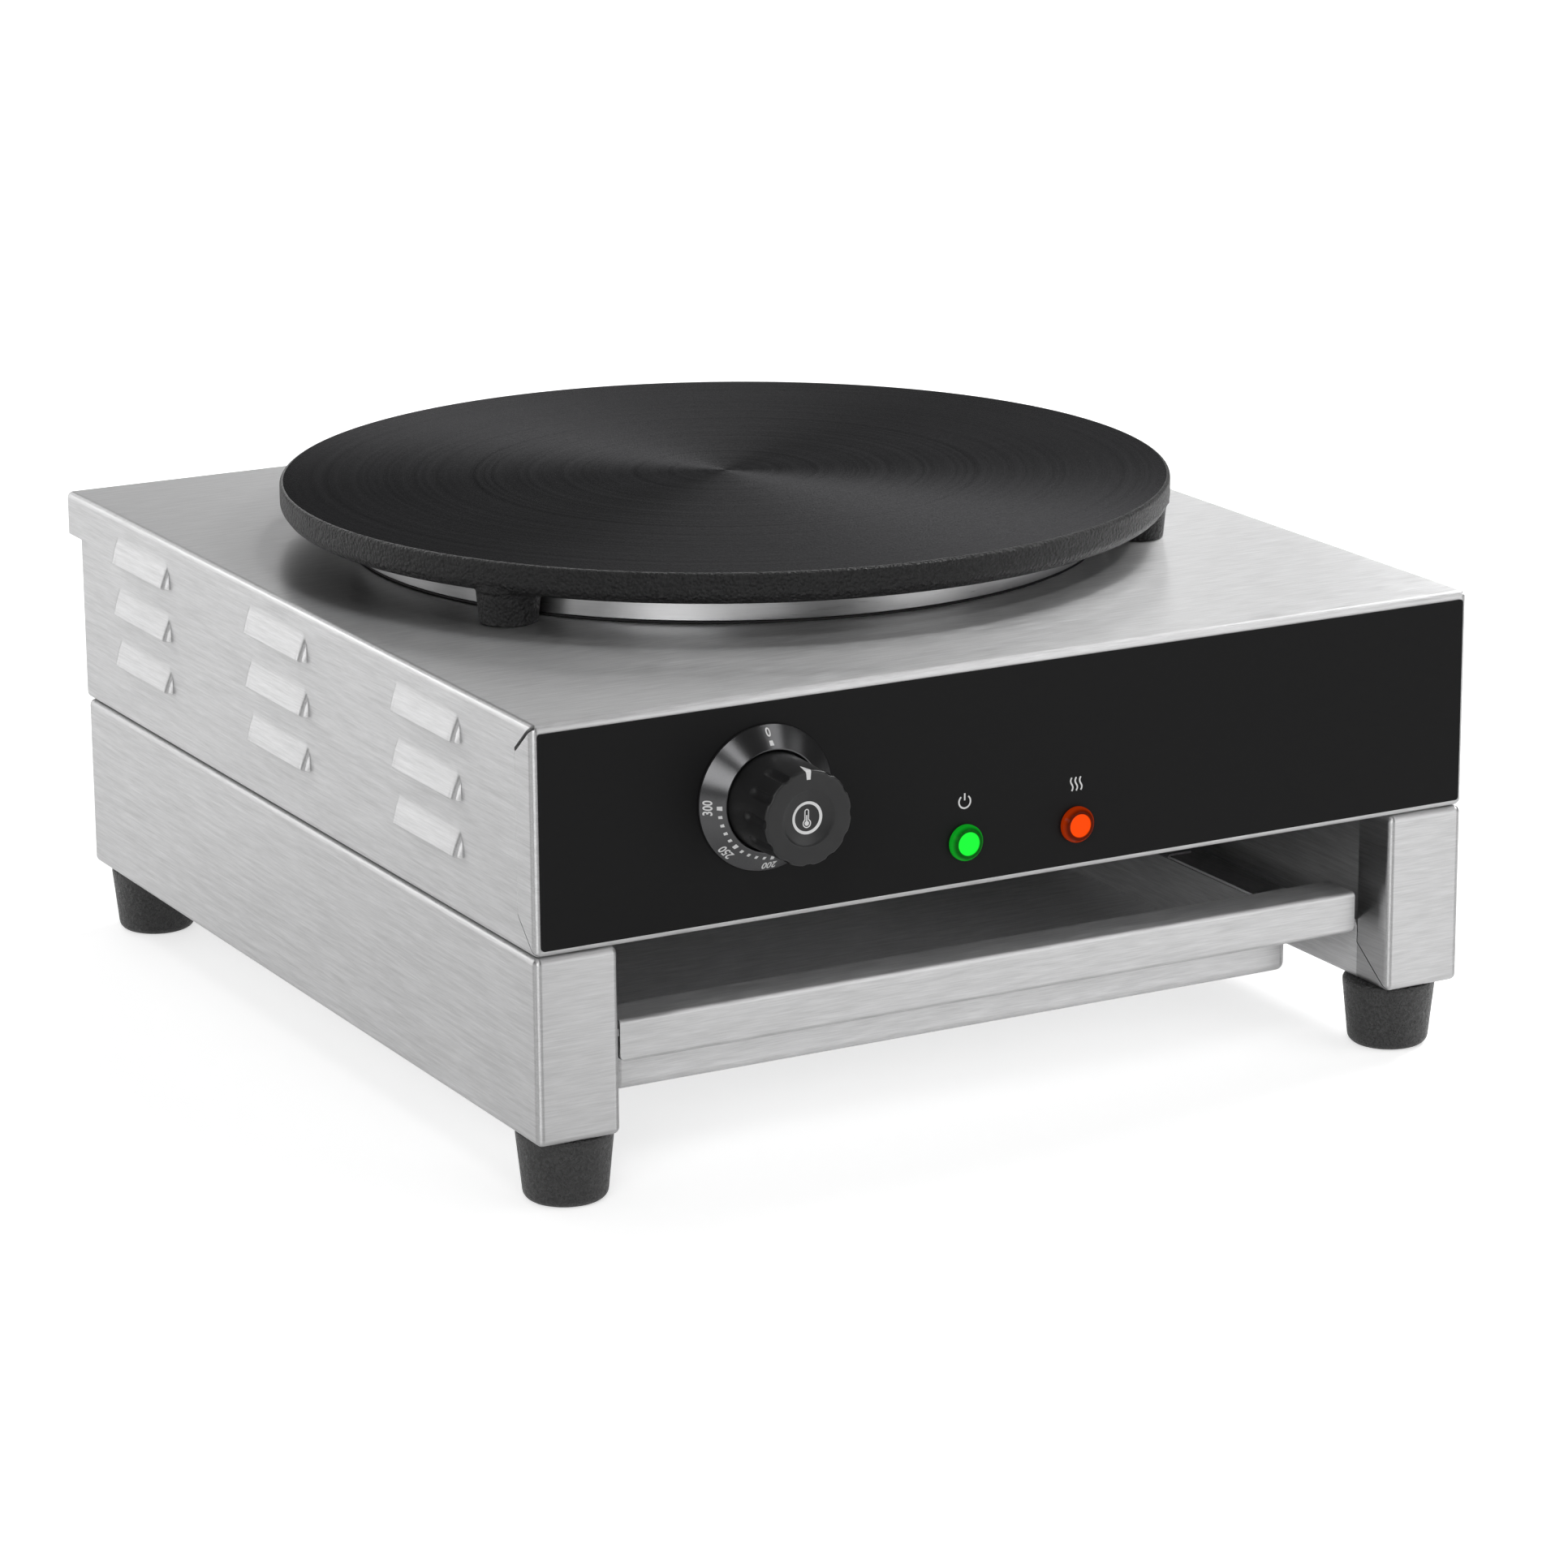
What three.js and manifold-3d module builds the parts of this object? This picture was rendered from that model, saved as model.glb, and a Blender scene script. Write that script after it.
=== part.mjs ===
// Counter-top electric griddle with one round cast iron plate: a folded stainless housing on a base frame
// with a drip tray, a plate on three cast legs over two ring heating elements, a thermostat and two lamps.
// Millimetres, +Z up, front towards -Y. The case frame has X = 0 and Y = 0 at the middle of the case.

import * as THREE from "three";
import { mergeVertices } from "three/addons/utils/BufferGeometryUtils.js";
import Module from "manifold-3d";

const wasm = await Module();
wasm.setup();

// ---------------------------------------------------------------- driving dimensions

// Case
const CASE_WIDTH = 450;
const CASE_DEPTH = 475;
const FOOT_HEIGHT = 30;
const BASE_HEIGHT = 79.6; // base frame, from its underside to its top flange
const HOUSING_HEIGHT = 96; // upper housing, from its bottom flange to the cover
const SPLIT_GAP = 0.4; // open line between base frame and housing
const SHEET = 1.2; // housing and base frame sheet
const BEND = 3; // outside radius of a fold
const FLANGE = 12; // width of the inward flanges
const REAR_OVERHANG = 18; // cover past the back panel
const REAR_LIP = 20; // height of the cover's rear lip
const CORNER_RETURN = 15; // front panel's return round the side
const SEAM = 0.6; // open seams between folded flanges

// Clearances
const FIT = 0.3; // between pieces that touch
const HOLE_FIT = 0.6; // radial, round a bolt or a bush
const RUN_FIT = 0.3; // radial, round the turning shaft

// Plate
const PLATE_RADIUS = 200;
const PLATE_UNDERSIDE_RADIUS = 197.2;
const PLATE_THICKNESS = 14;
const PLATE_EDGE = 2;
const PLATE_UNDER_EDGE = 3;
const PLATE_LIFT = 15.5; // cover to the plate's underside
const PLATE_Y = 20; // plate centre behind the middle of the case
const LEG_INSET = 15.5; // leg centre inside the plate's edge
const LEG_TOP_RADIUS = 14.2;
const LEG_FOOT_RADIUS = 12.6;
const LEG_ANGLES = [-148, -32, 90]; // degrees round the plate
const BOLT_RADIUS = 4;
const BOLT_DEPTH = 13; // of the threaded holes in the legs
const BOLT_HEAD = 6.5; // half the hexagon's width across corners is 1.155 times this
const BOLT_HEAD_HEIGHT = 5.3;

// Skirt and heater
const SKIRT_GAP = 0.5; // legs to the skirt
const SKIRT_WALL = 1.2;
const SEAL_HEIGHT = 1;
const SEAL_WIDTH = 3.5;
const SEAL_INSET = 0.5;
const HEATER_OPENING_GAP = 2; // cover's hole round the shield
const SHIELD_MARGIN = 5.8; // seal to the shield's rim
const SHIELD_FLANGE = 10;
const SHIELD_WALL = 1;
const SHIELD_DEPTH = 12;
const ELEMENT_TUBE = 4; // tube radius
const ELEMENT_INSET = 24; // outer ring inside the clamp plate's edge
const ELEMENT_PITCH = 56; // outer ring to inner ring
const ELEMENT_OPEN = 14; // degrees left open between an element's two ends
const ELEMENT_TAIL = 34; // length of the ends that turn down
const ELEMENT_BEND = 9;
const CLAMP_INSET = 1; // clamp plate's edge inside the insulation's
const CLAMP_THICKNESS = 2;
const INSULATION_GAP = 2; // insulation to the shield's wall
const NUT_HEIGHT = 5;

// Base frame and tray
const POST_WIDTH = 37.5;
const POST_RETURN = 23.5;
const RAIL_LIP = 27.5; // height of the rail's inner lip with its ledge
const LEDGE_WIDTH = 19;
const TRAY_RECESS = 15; // tray front behind the posts
const TRAY_SIDE_GAP = 7.5; // tray front to the posts
const TRAY_FRONT_HEIGHT = 18.5;
const TRAY_FRONT_LOW = 24.5; // above the frame's underside
const TRAY_GRIP = 20; // depth of the tray front's top flange
const TRAY_TAB = 7; // tray front's tab down the pan's front
const TRAY_CORNER = 4;
const TRAY_BEND = 2;
const TRAY_SHEET = 1.1;
const PAN_SETBACK = 32.5; // pan's front behind the tray front
const PAN_SIDE_GAP = 1.7; // pan's side to the ledge
const PAN_DEPTH = 388.5;
const PAN_LOW = 0.4; // above the frame's underside
const PAN_HEIGHT = 27;
const PAN_CORNER = 4;
const GLIDE_REACH = 12.4; // glide's top flange out from the pan
const GLIDE_DROP = 12; // glide's web down the pan's side
const GLIDE_LENGTH = 374.5;
const GLIDE_SETBACK = 4; // behind the pan's front
const GLIDE_PAD = 24; // glide in front of its notch
const GLIDE_NOTCH = 70;
const GLIDE_NOTCH_DEPTH = 5;

// Feet
const FOOT_INSET_X = 22;
const FOOT_INSET_Y = 21;
const FOOT_TOP_RADIUS = 20.5;
const FOOT_SOLE_RADIUS = 17.4;
const FOOT_EDGE = 4;
const FOOT_RECESS_RADIUS = 7.5;
const FOOT_WEB = 10; // rubber left above the recess
const FOOT_SCREW_RADIUS = 3;
const FOOT_SCREW_HEAD = 6;

// Louvres
const LOUVRE_LENGTH = 62;
const LOUVRE_HEIGHT = 14;
const LOUVRE_REACH = 3.5;
const LOUVRE_SKIN = 1;
const LOUVRE_COLUMNS = 3;
const LOUVRE_ROWS = 3;
const LOUVRE_PITCH_Y = 152;
const LOUVRE_PITCH_Z = 24.2;
const LOUVRE_MIDDLE_Y = 11;
const LOUVRE_TOP_MARGIN = 8; // top row below the cover

// Controls
const OVERLAY_THICKNESS = 0.5;
const OVERLAY_SIDE = 2.7; // steel left showing beside the overlay
const OVERLAY_TOP = 3.4;
const OVERLAY_BOTTOM = 2.8;
const KNOB_X = -121;
const KNOB_Z = 53; // above the housing's bottom
const KNOB_REACH = 38; // knob face in front of the front panel
const KNOB_RADIUS = 20.4;
const KNOB_FACE_RADIUS = 19.8;
const KNOB_EDGE = 1;
const KNOB_DISH = 11.6;
const KNOB_DISH_DEPTH = 1.8;
const FLUTE_COUNT = 12; // one place is left out under the pointer
const FLUTE_RADIUS = 2.6;
const FLUTE_LENGTH = 15;
const DIAL_RADIUS = 30.6;
const DIAL_HEIGHT = 7.8;
const DIAL_RIM = 1.1;
const DIAL_BACK = 1.6;
const DIAL_POCKET_GAP = 0.7; // round the knob
const SHAFT_RADIUS = 3;
const SHAFT_LENGTH = 34;
const BUSH_RADIUS = 5;
const THERMOSTAT_WIDTH = 42;
const THERMOSTAT_HEIGHT = 36;
const THERMOSTAT_DEPTH = 27;
const TAB_X = 12; // thermostat's terminal tabs beside its shaft
const TAB_Z = 13.6; // and above or below it
const TAB_LENGTH = 10;
const BELLOWS_RADIUS = 13;
const BELLOWS_DEPTH = 6;
const BRACKET_WIDTH = 58;
const BRACKET_HEIGHT = 42;
const BULB_RADIUS = 3;
const BULB_LENGTH = 78;
const CAPILLARY_RADIUS = 1.1;
const CAPILLARY_BEND = 8; // spacing of the tube's bends
const LAMP_X = 27; // each lamp beside the middle
const LAMP_Z = 20.2; // above the housing's bottom
const LAMP_RADIUS = 7.7;
const LAMP_REACH = 3.6;
const LAMP_SPIGOT = 4.4;
const LAMP_BODY_RADIUS = 5.7;
const LAMP_BODY_LENGTH = 26;
const LAMP_NUT_RADIUS = 8.5;
const LAMP_PIN_X = 2.5;
const LAMP_PIN_LENGTH = 8;

// Back and supply
const BACK_SLOT_LENGTH = 46;
const BACK_SLOT_HEIGHT = 3.6;
const BACK_SLOT_ROWS = 4;
const BACK_SLOT_PITCH = 9;
const BACK_SLOT_GAP = 9; // from the middle of the two columns to each column
const BACK_SLOT_SHIFT = 30; // columns' middle, left of the panel's middle
const BACK_SLOT_DROP = 12; // top row below the cover's rear lip
const GLAND_X = 150;
const GLAND_Z = 34; // above the housing's bottom
const GLAND_BORE = 5;
const GLAND_THREAD = 9.8;
const GLAND_HEX = 12; // half the width across flats
const GLAND_REACH = 17;
const TERMINAL_LENGTH = 58;
const TERMINAL_DEPTH = 22;
const TERMINAL_HEIGHT = 20;
const TERMINAL_SETBACK = 52; // block's middle in front of the back panel
const TERMINAL_WAY = 8; // height of the wire ways over the block's foot
const EARTH_PITCH = 42; // earth stud beside the gland
const CUTOUT_RADIUS = 12;
const CUTOUT_X = 70;
const CUTOUT_FORWARD = 45; // in front of the plate's middle
const CUTOUT_HEIGHT = 14;
const CUTOUT_RIM = 5;
const CUTOUT_EAR = 8;
const CUTOUT_TAB = 8;
const STUD_RADIUS = 3;
const WIRE_RADIUS = 1.5;
const WIRE_END = 1; // bare end's gap to its terminal
const WIRE_BEND = 8; // straight run at a wire's end
const WIRE_DROP = 18; // slack below an element's end

// ---------------------------------------------------------------- heights and planes worked out from these

const BASE_LOW = FOOT_HEIGHT;
const BASE_TOP = BASE_LOW + BASE_HEIGHT;
const HOUSING_LOW = BASE_TOP + SPLIT_GAP;
const COVER_TOP = HOUSING_LOW + HOUSING_HEIGHT;
const PLATE_LOW = COVER_TOP + PLATE_LIFT;
const PLATE_TOP = PLATE_LOW + PLATE_THICKNESS;
const HALF_WIDTH = CASE_WIDTH / 2;
const LEG_CIRCLE = PLATE_RADIUS - LEG_INSET;
const SKIRT_RADIUS = LEG_CIRCLE - LEG_TOP_RADIUS - SKIRT_GAP;
const SHIELD_RIM_RADIUS = SKIRT_RADIUS - SEAL_INSET - SEAL_WIDTH - SHIELD_MARGIN;
const SHIELD_RADIUS = SHIELD_RIM_RADIUS - SHIELD_FLANGE;
const HEATER_OPENING = SHIELD_RADIUS + HEATER_OPENING_GAP;
const INSULATION_RADIUS = SHIELD_RADIUS - SHIELD_WALL - INSULATION_GAP;
const CLAMP_RADIUS = INSULATION_RADIUS - CLAMP_INSET;
const OUTER_RING = CLAMP_RADIUS - ELEMENT_INSET;
const INNER_RING = OUTER_RING - ELEMENT_PITCH;
const PAN_HALF = HALF_WIDTH - POST_WIDTH - LEDGE_WIDTH - PAN_SIDE_GAP;
const TRAY_FRONT_HALF = HALF_WIDTH - POST_WIDTH - TRAY_SIDE_GAP;
const FRONT = -CASE_DEPTH / 2;
const BACK = CASE_DEPTH / 2;
const REAR_EDGE = BACK + REAR_OVERHANG;
const OVERLAY_FACE = FRONT - FIT - OVERLAY_THICKNESS;
const KNOB_HEIGHT = HOUSING_LOW + KNOB_Z;
const LAMP_HEIGHT = HOUSING_LOW + LAMP_Z;
const ELEMENT_HEIGHT = PLATE_LOW - FIT - ELEMENT_TUBE;
const CLAMP_TOP = ELEMENT_HEIGHT - ELEMENT_TUBE - FIT;
const CLAMP_LOW = CLAMP_TOP - CLAMP_THICKNESS;
const SHIELD_RIM = COVER_TOP + FIT + SHIELD_WALL;
const SHIELD_LOW = COVER_TOP - SHIELD_DEPTH;
const FLOOR_LOW = HOUSING_LOW + SHEET + FIT;
const FLOOR_TOP = FLOOR_LOW + SHEET;
const BACK_PANEL_OUT = BACK - FIT;
const BACK_PANEL_IN = BACK_PANEL_OUT - SHEET;
const ARC_STEPS = 2; // straight steps in a quarter turn of a fold
const ROUND = 16; // sides of small round pieces
const PLATE_ROUND = 60; // sides of the plate
const RING_ROUND = 48; // sides of the skirt, its seal and the cover's opening
const DISC_ROUND = 30; // sides of the discs under the plate and of the knob

// ---------------------------------------------------------------- shapes and solids

// A closed geometry as a solid that faces out, whichever way its outline was drawn.
function solidOf(geometry) {
  const bare = geometry.index ? geometry.toNonIndexed() : geometry.clone();
  bare.deleteAttribute("normal");
  bare.deleteAttribute("uv");
  const merged = mergeVertices(bare, 1e-4);
  const triangles = new Uint32Array(merged.index.array);
  const make = () =>
    new wasm.Manifold(
      new wasm.Mesh({ numProp: 3, vertProperties: merged.attributes.position.array, triVerts: triangles }),
    );
  const made = make();
  if (made.volume() > 0) return made;
  for (let i = 0; i < triangles.length; i += 3) {
    [triangles[i + 1], triangles[i + 2]] = [triangles[i + 2], triangles[i + 1]];
  }
  return make();
}

const join = (...solids) => solids.reduce((whole, next) => whole.add(next));
const cut = (solid, ...tools) => tools.reduce((left, tool) => left.subtract(tool), solid);
const common = (...solids) => solids.reduce((left, next) => left.intersect(next));

function block(x0, x1, y0, y1, z0, z1) {
  const geometry = new THREE.BoxGeometry(x1 - x0, y1 - y0, z1 - z0);
  return solidOf(geometry.translate((x0 + x1) / 2, (y0 + y1) / 2, (z0 + z1) / 2));
}

// A closed outline through points [a, b, radius], each corner rounded by its own radius.
function outline(points) {
  const shape = new THREE.Shape();
  points.forEach(([a, b, radius = 0], i) => {
    const corner = new THREE.Vector2(a, b);
    const before = new THREE.Vector2(...points.at(i - 1).slice(0, 2)).sub(corner).normalize();
    const after = new THREE.Vector2(...points[(i + 1) % points.length].slice(0, 2)).sub(corner).normalize();
    const half = Math.acos(THREE.MathUtils.clamp(before.dot(after), -1, 1)) / 2;
    if (!radius || half > 1.57) {
      if (i) shape.lineTo(a, b);
      else shape.moveTo(a, b);
      return;
    }
    const start = corner.clone().addScaledVector(before, radius / Math.tan(half));
    const end = corner.clone().addScaledVector(after, radius / Math.tan(half));
    const middle = before.clone().add(after).normalize();
    const centre = corner.clone().addScaledVector(middle, radius / Math.sin(half));
    const from = start.clone().sub(centre).angle();
    const to = end.clone().sub(centre).angle();
    if (i) shape.lineTo(start.x, start.y);
    else shape.moveTo(start.x, start.y);
    shape.absarc(centre.x, centre.y, radius, from, to, before.cross(after) > 0);
  });
  shape.closePath();
  return shape;
}

// The section of a folded sheet: a path along one face, with the sheet on its right-hand side.
function foldedSection(path, thickness, bend) {
  const corners = path.map(([a, b]) => new THREE.Vector2(a, b));
  const along = corners.slice(1).map((point, i) => point.clone().sub(corners[i]).normalize());
  const aside = along.map((d) => new THREE.Vector2(d.y, -d.x));
  const near = [];
  const far = [];
  corners.forEach((point, i) => {
    const first = aside[Math.max(i - 1, 0)];
    const second = aside[Math.min(i, aside.length - 1)];
    const offset = first.clone().add(second);
    offset.multiplyScalar(thickness / (1 + first.dot(second)));
    const turn = i && i < aside.length ? along[i - 1].cross(along[i]) : 0;
    const outer = turn ? bend : 0;
    const inner = turn ? Math.max(bend - thickness, 0.2) : 0;
    near.push([point.x, point.y, turn < 0 ? outer : inner]);
    far.unshift([point.x + offset.x, point.y + offset.y, turn < 0 ? inner : outer]);
  });
  return outline([...near, ...far]);
}

// Prisms along X, Y and Z: an outline drawn in (y, z), (x, z) or (x, y).
function prism(shape, from, to, axes, steps) {
  const settings = { depth: to - from, bevelEnabled: false, curveSegments: steps };
  const geometry = new THREE.ExtrudeGeometry(shape, settings);
  const basis = new THREE.Matrix4().makeBasis(...axes.map((axis) => new THREE.Vector3(...axis)));
  return solidOf(geometry.applyMatrix4(basis));
}
const prismX = (shape, x0, x1, steps = ARC_STEPS) =>
  prism(shape, x0, x1, [[0, 1, 0], [0, 0, 1], [1, 0, 0]], steps).translate([x0, 0, 0]);
const prismY = (shape, y0, y1, steps = ARC_STEPS) =>
  prism(shape, y0, y1, [[1, 0, 0], [0, 0, 1], [0, -1, 0]], steps).translate([0, y1, 0]);
const prismZ = (shape, z0, z1, steps = ARC_STEPS) =>
  prism(shape, z0, z1, [[1, 0, 0], [0, 1, 0], [0, 0, 1]], steps).translate([0, 0, z0]);

// A turned piece about a vertical axis; the profile holds [radius, height].
function turned(profile, sides = ROUND) {
  const points = profile.map(([radius, height]) => new THREE.Vector2(radius, height));
  return solidOf(new THREE.LatheGeometry(points, sides).rotateX(Math.PI / 2));
}

// A turned piece about a level axis that points to the front; the profile holds [radius, reach].
function turnedFront(profile, sides = ROUND) {
  const points = profile.map(([radius, reach]) => new THREE.Vector2(radius, reach));
  return solidOf(new THREE.LatheGeometry(points, sides).rotateX(Math.PI));
}

const pillar = (radius, z0, z1, sides = 12) => turned([[0, z0], [radius, z0], [radius, z1], [0, z1]], sides);
const spindle = (radius, y0, y1, sides = 12) =>
  turnedFront([[0, -y1], [radius, -y1], [radius, -y0], [0, -y0]], sides);
const collar = (inner, outer, z0, z1, sides = ROUND) =>
  turned([[inner, z0], [outer, z0], [outer, z1], [inner, z1], [inner, z0]], sides);

// Profile points of a quarter round between two level or upright lines.
function quarter(centreRadius, centreHeight, radius, fromDegrees, steps = ARC_STEPS) {
  return Array.from({ length: steps + 1 }, (_, i) => {
    const angle = THREE.MathUtils.degToRad(fromDegrees + (90 * i) / steps);
    return [centreRadius + radius * Math.cos(angle), centreHeight + radius * Math.sin(angle)];
  });
}

// A curve that steps from point to point of a list, so an extrusion gets one section at each.
class Track extends THREE.Curve {
  constructor(points) {
    super();
    this.points = points;
  }

  getPointAt(share) {
    return this.points[Math.round(share * (this.points.length - 1))].clone();
  }

  getTangentAt(share) {
    const last = this.points.length - 1;
    const i = Math.round(share * last);
    return this.points[Math.min(i + 1, last)].clone().sub(this.points[Math.max(i - 1, 0)]).normalize();
  }
}

// A round bar through a list of points.
function bar(points, radius, sides = 8) {
  const section = new THREE.Shape();
  for (let i = 0; i < sides; i += 1) {
    const angle = (2 * Math.PI * i) / sides;
    const move = i ? "lineTo" : "moveTo";
    section[move](radius * Math.cos(angle), radius * Math.sin(angle));
  }
  section.closePath();
  const steps = points.length - 1;
  const settings = { steps, extrudePath: new Track(points), bevelEnabled: false };
  return solidOf(new THREE.ExtrudeGeometry(section, settings));
}

// Points spaced evenly along a smooth curve through the given ones.
function smooth(points, steps) {
  const knots = points.map((point) => new THREE.Vector3(...point));
  return new THREE.CatmullRomCurve3(knots, false, "centripetal").getSpacedPoints(steps);
}

// A point on a circle round the plate's centre.
function roundPlate(radius, degrees) {
  const angle = THREE.MathUtils.degToRad(degrees);
  return [radius * Math.cos(angle), PLATE_Y + radius * Math.sin(angle)];
}

const rectangle = (a0, a1, b0, b1, radius = 0) =>
  outline([[a0, b0, radius], [a1, b0, radius], [a1, b1, radius], [a0, b1, radius]]);

// A closed folded box: every edge rounded by the same bend.
function foldedBox(x0, x1, y0, y1, z0, z1, bend) {
  return common(
    prismZ(rectangle(x0, x1, y0, y1, bend), z0, z1),
    prismX(rectangle(y0, y1, z0, z1, bend), x0, x1),
    prismY(rectangle(x0, x1, z0, z1, bend), y0, y1),
  );
}

// ---------------------------------------------------------------- finishes

const finish = (color, roughness, metalness, more = {}) =>
  new THREE.MeshStandardMaterial({ color, roughness, metalness, ...more });
const STEEL = finish(0xc4c5c6, 0.35, 1);
const STEEL_DULL = finish(0xa9abad, 0.5, 1);
const ZINC = finish(0xb9bcc0, 0.4, 1);
const CAST_IRON = finish(0x232323, 0.55, 0.6);
const RUBBER = finish(0x1d1d1d, 0.85, 0);
const OVERLAY = finish(0x1c1c1c, 0.4, 0);
const KNOB_PLASTIC = finish(0x262626, 0.45, 0);
const DIAL_SATIN = finish(0x3a3a3a, 0.35, 0.5);
const BLACK_PLASTIC = finish(0x202020, 0.5, 0);
const WHITE_CERAMIC = finish(0xe6e2d6, 0.6, 0);
const WOOL = finish(0xd9d4c2, 0.95, 0);
const COPPER = finish(0xb5703c, 0.35, 1);
const BRASS = finish(0xc2a052, 0.35, 1);
const GREEN_LENS = finish(0x20e03a, 0.2, 0, { emissive: 0x10a020 });
const RED_LENS = finish(0xff4a08, 0.2, 0, { emissive: 0xb02800 });
const WIRE_BLUE = finish(0x2b5fb0, 0.6, 0);
const WIRE_BROWN = finish(0x5f3a22, 0.6, 0);
const WIRE_BLACK = finish(0x191919, 0.6, 0);
const WIRE_EARTH = finish(0x7fae2a, 0.6, 0);

// ---------------------------------------------------------------- upper housing

// One louvre on the +X side: a bulge pressed out of the wall and open at its lower edge.
function louvre(yMiddle, zTop) {
  const low = zTop - LOUVRE_HEIGHT;
  const half = LOUVRE_LENGTH / 2;
  const shoulder = zTop - LOUVRE_HEIGHT * 0.45;
  const slope = LOUVRE_REACH * 0.5; // lean of the end caps
  const inside = HALF_WIDTH - SHEET;
  const reach = HALF_WIDTH + LOUVRE_REACH;
  const side = (grow, x0, top, bottom) =>
    outline([[x0, top], [HALF_WIDTH, top], [reach + grow, shoulder], [reach + grow, bottom], [x0, bottom]]);
  const plan = (x0, tight) =>
    outline([
      [x0, yMiddle - half + tight],
      [HALF_WIDTH, yMiddle - half + tight],
      [reach - tight, yMiddle - half + slope + tight],
      [reach - tight, yMiddle + half - slope - tight],
      [HALF_WIDTH, yMiddle + half - tight],
      [x0, yMiddle + half - tight],
    ]);
  const bulge = common(
    prismY(side(0, inside + SHEET / 2, zTop, low), yMiddle - half, yMiddle + half, 2),
    prismZ(plan(inside + SHEET / 2, 0), low, zTop, 1),
  );
  const throat = common(
    prismY(
      side(-LOUVRE_SKIN, inside - 1, zTop - 2 * LOUVRE_SKIN, low - 1),
      yMiddle - half, yMiddle + half, 2,
    ),
    prismZ(plan(inside - 1, LOUVRE_SKIN), low - 1, zTop, 1),
  );
  const sill = block(inside - 2, HALF_WIDTH, yMiddle - half, yMiddle + half, low - 2, low);
  return { bulge, throat: cut(throat, sill) };
}

// The open seam where the front panel's return meets the side wall, mitred at both ends.
function cornerSeam() {
  const y0 = FRONT;
  const y1 = FRONT + CORNER_RETURN;
  const section = foldedSection(
    [
      [y0 - SEAM, HOUSING_LOW - SEAM],
      [y1, HOUSING_LOW + CORNER_RETURN],
      [y1, COVER_TOP - CORNER_RETURN + BEND],
      [y0 + BEND, COVER_TOP - SEAM],
    ],
    SEAM,
    SEAM,
  );
  return prismX(section, HALF_WIDTH - 2 * SHEET, HALF_WIDTH + 1, 1);
}

function housingShell() {
  const sideView = (inset, bend) =>
    outline([
      [FRONT + inset, HOUSING_LOW + inset, bend],
      [FRONT + inset, COVER_TOP - inset, bend],
      [REAR_EDGE - inset, COVER_TOP - inset, bend],
      [REAR_EDGE - inset, COVER_TOP - REAR_LIP],
      [BACK, COVER_TOP - REAR_LIP],
      [BACK, HOUSING_LOW + inset],
    ]);
  const outer = common(
    prismX(sideView(0, BEND), -HALF_WIDTH, HALF_WIDTH),
    prismY(rectangle(-HALF_WIDTH, HALF_WIDTH, HOUSING_LOW, COVER_TOP, BEND), FRONT, REAR_EDGE),
    prismZ(rectangle(-HALF_WIDTH, HALF_WIDTH, FRONT, REAR_EDGE, BEND), HOUSING_LOW, COVER_TOP),
  );
  const cavity = foldedBox(
    -HALF_WIDTH + SHEET, HALF_WIDTH - SHEET,
    FRONT + SHEET, REAR_EDGE - SHEET,
    HOUSING_LOW + SHEET, COVER_TOP - SHEET,
    BEND - SHEET,
  );
  const open = block(
    -HALF_WIDTH + FLANGE, HALF_WIDTH - FLANGE,
    FRONT + FLANGE, REAR_EDGE + 1,
    HOUSING_LOW - 1, HOUSING_LOW + 2 * SHEET,
  );
  let shell = cut(outer, cavity, open);
  const firstTop = COVER_TOP - LOUVRE_TOP_MARGIN;
  for (let column = 0; column < LOUVRE_COLUMNS; column += 1) {
    for (let row = 0; row < LOUVRE_ROWS; row += 1) {
      const y = LOUVRE_MIDDLE_Y + (column - (LOUVRE_COLUMNS - 1) / 2) * LOUVRE_PITCH_Y;
      const { bulge, throat } = louvre(y, firstTop - row * LOUVRE_PITCH_Z);
      shell = cut(join(shell, bulge, bulge.mirror([1, 0, 0])), throat, throat.mirror([1, 0, 0]));
    }
  }
  const seam = cornerSeam();
  const through = SHEET * 3;
  return cut(
    shell,
    seam,
    seam.mirror([1, 0, 0]),
    pillar(HEATER_OPENING, COVER_TOP - through, COVER_TOP + 1, RING_ROUND).translate([0, PLATE_Y, 0]),
    ...LEG_ANGLES.map((angle) => {
      const [x, y] = roundPlate(LEG_CIRCLE, angle);
      return pillar(BOLT_RADIUS + HOLE_FIT, COVER_TOP - through, COVER_TOP + 1).translate([x, y, 0]);
    }),
    spindle(BUSH_RADIUS + HOLE_FIT, FRONT - 1, FRONT + through).translate([KNOB_X, 0, KNOB_HEIGHT]),
    ...[-LAMP_X, LAMP_X].map((x) =>
      spindle(LAMP_BODY_RADIUS + HOLE_FIT, FRONT - 1, FRONT + through).translate([x, 0, LAMP_HEIGHT])),
  );
}

function controlOverlay() {
  const panel = prismY(
    rectangle(
      -HALF_WIDTH + OVERLAY_SIDE, HALF_WIDTH - OVERLAY_SIDE,
      HOUSING_LOW + OVERLAY_BOTTOM, COVER_TOP - OVERLAY_TOP,
      1.5,
    ),
    OVERLAY_FACE, FRONT - FIT,
  );
  return cut(
    panel,
    spindle(BUSH_RADIUS + HOLE_FIT, FRONT - 3, FRONT + 1).translate([KNOB_X, 0, KNOB_HEIGHT]),
    ...[-LAMP_X, LAMP_X].map((x) =>
      spindle(LAMP_BODY_RADIUS + HOLE_FIT, FRONT - 3, FRONT + 1).translate([x, 0, LAMP_HEIGHT])),
  );
}

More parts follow.
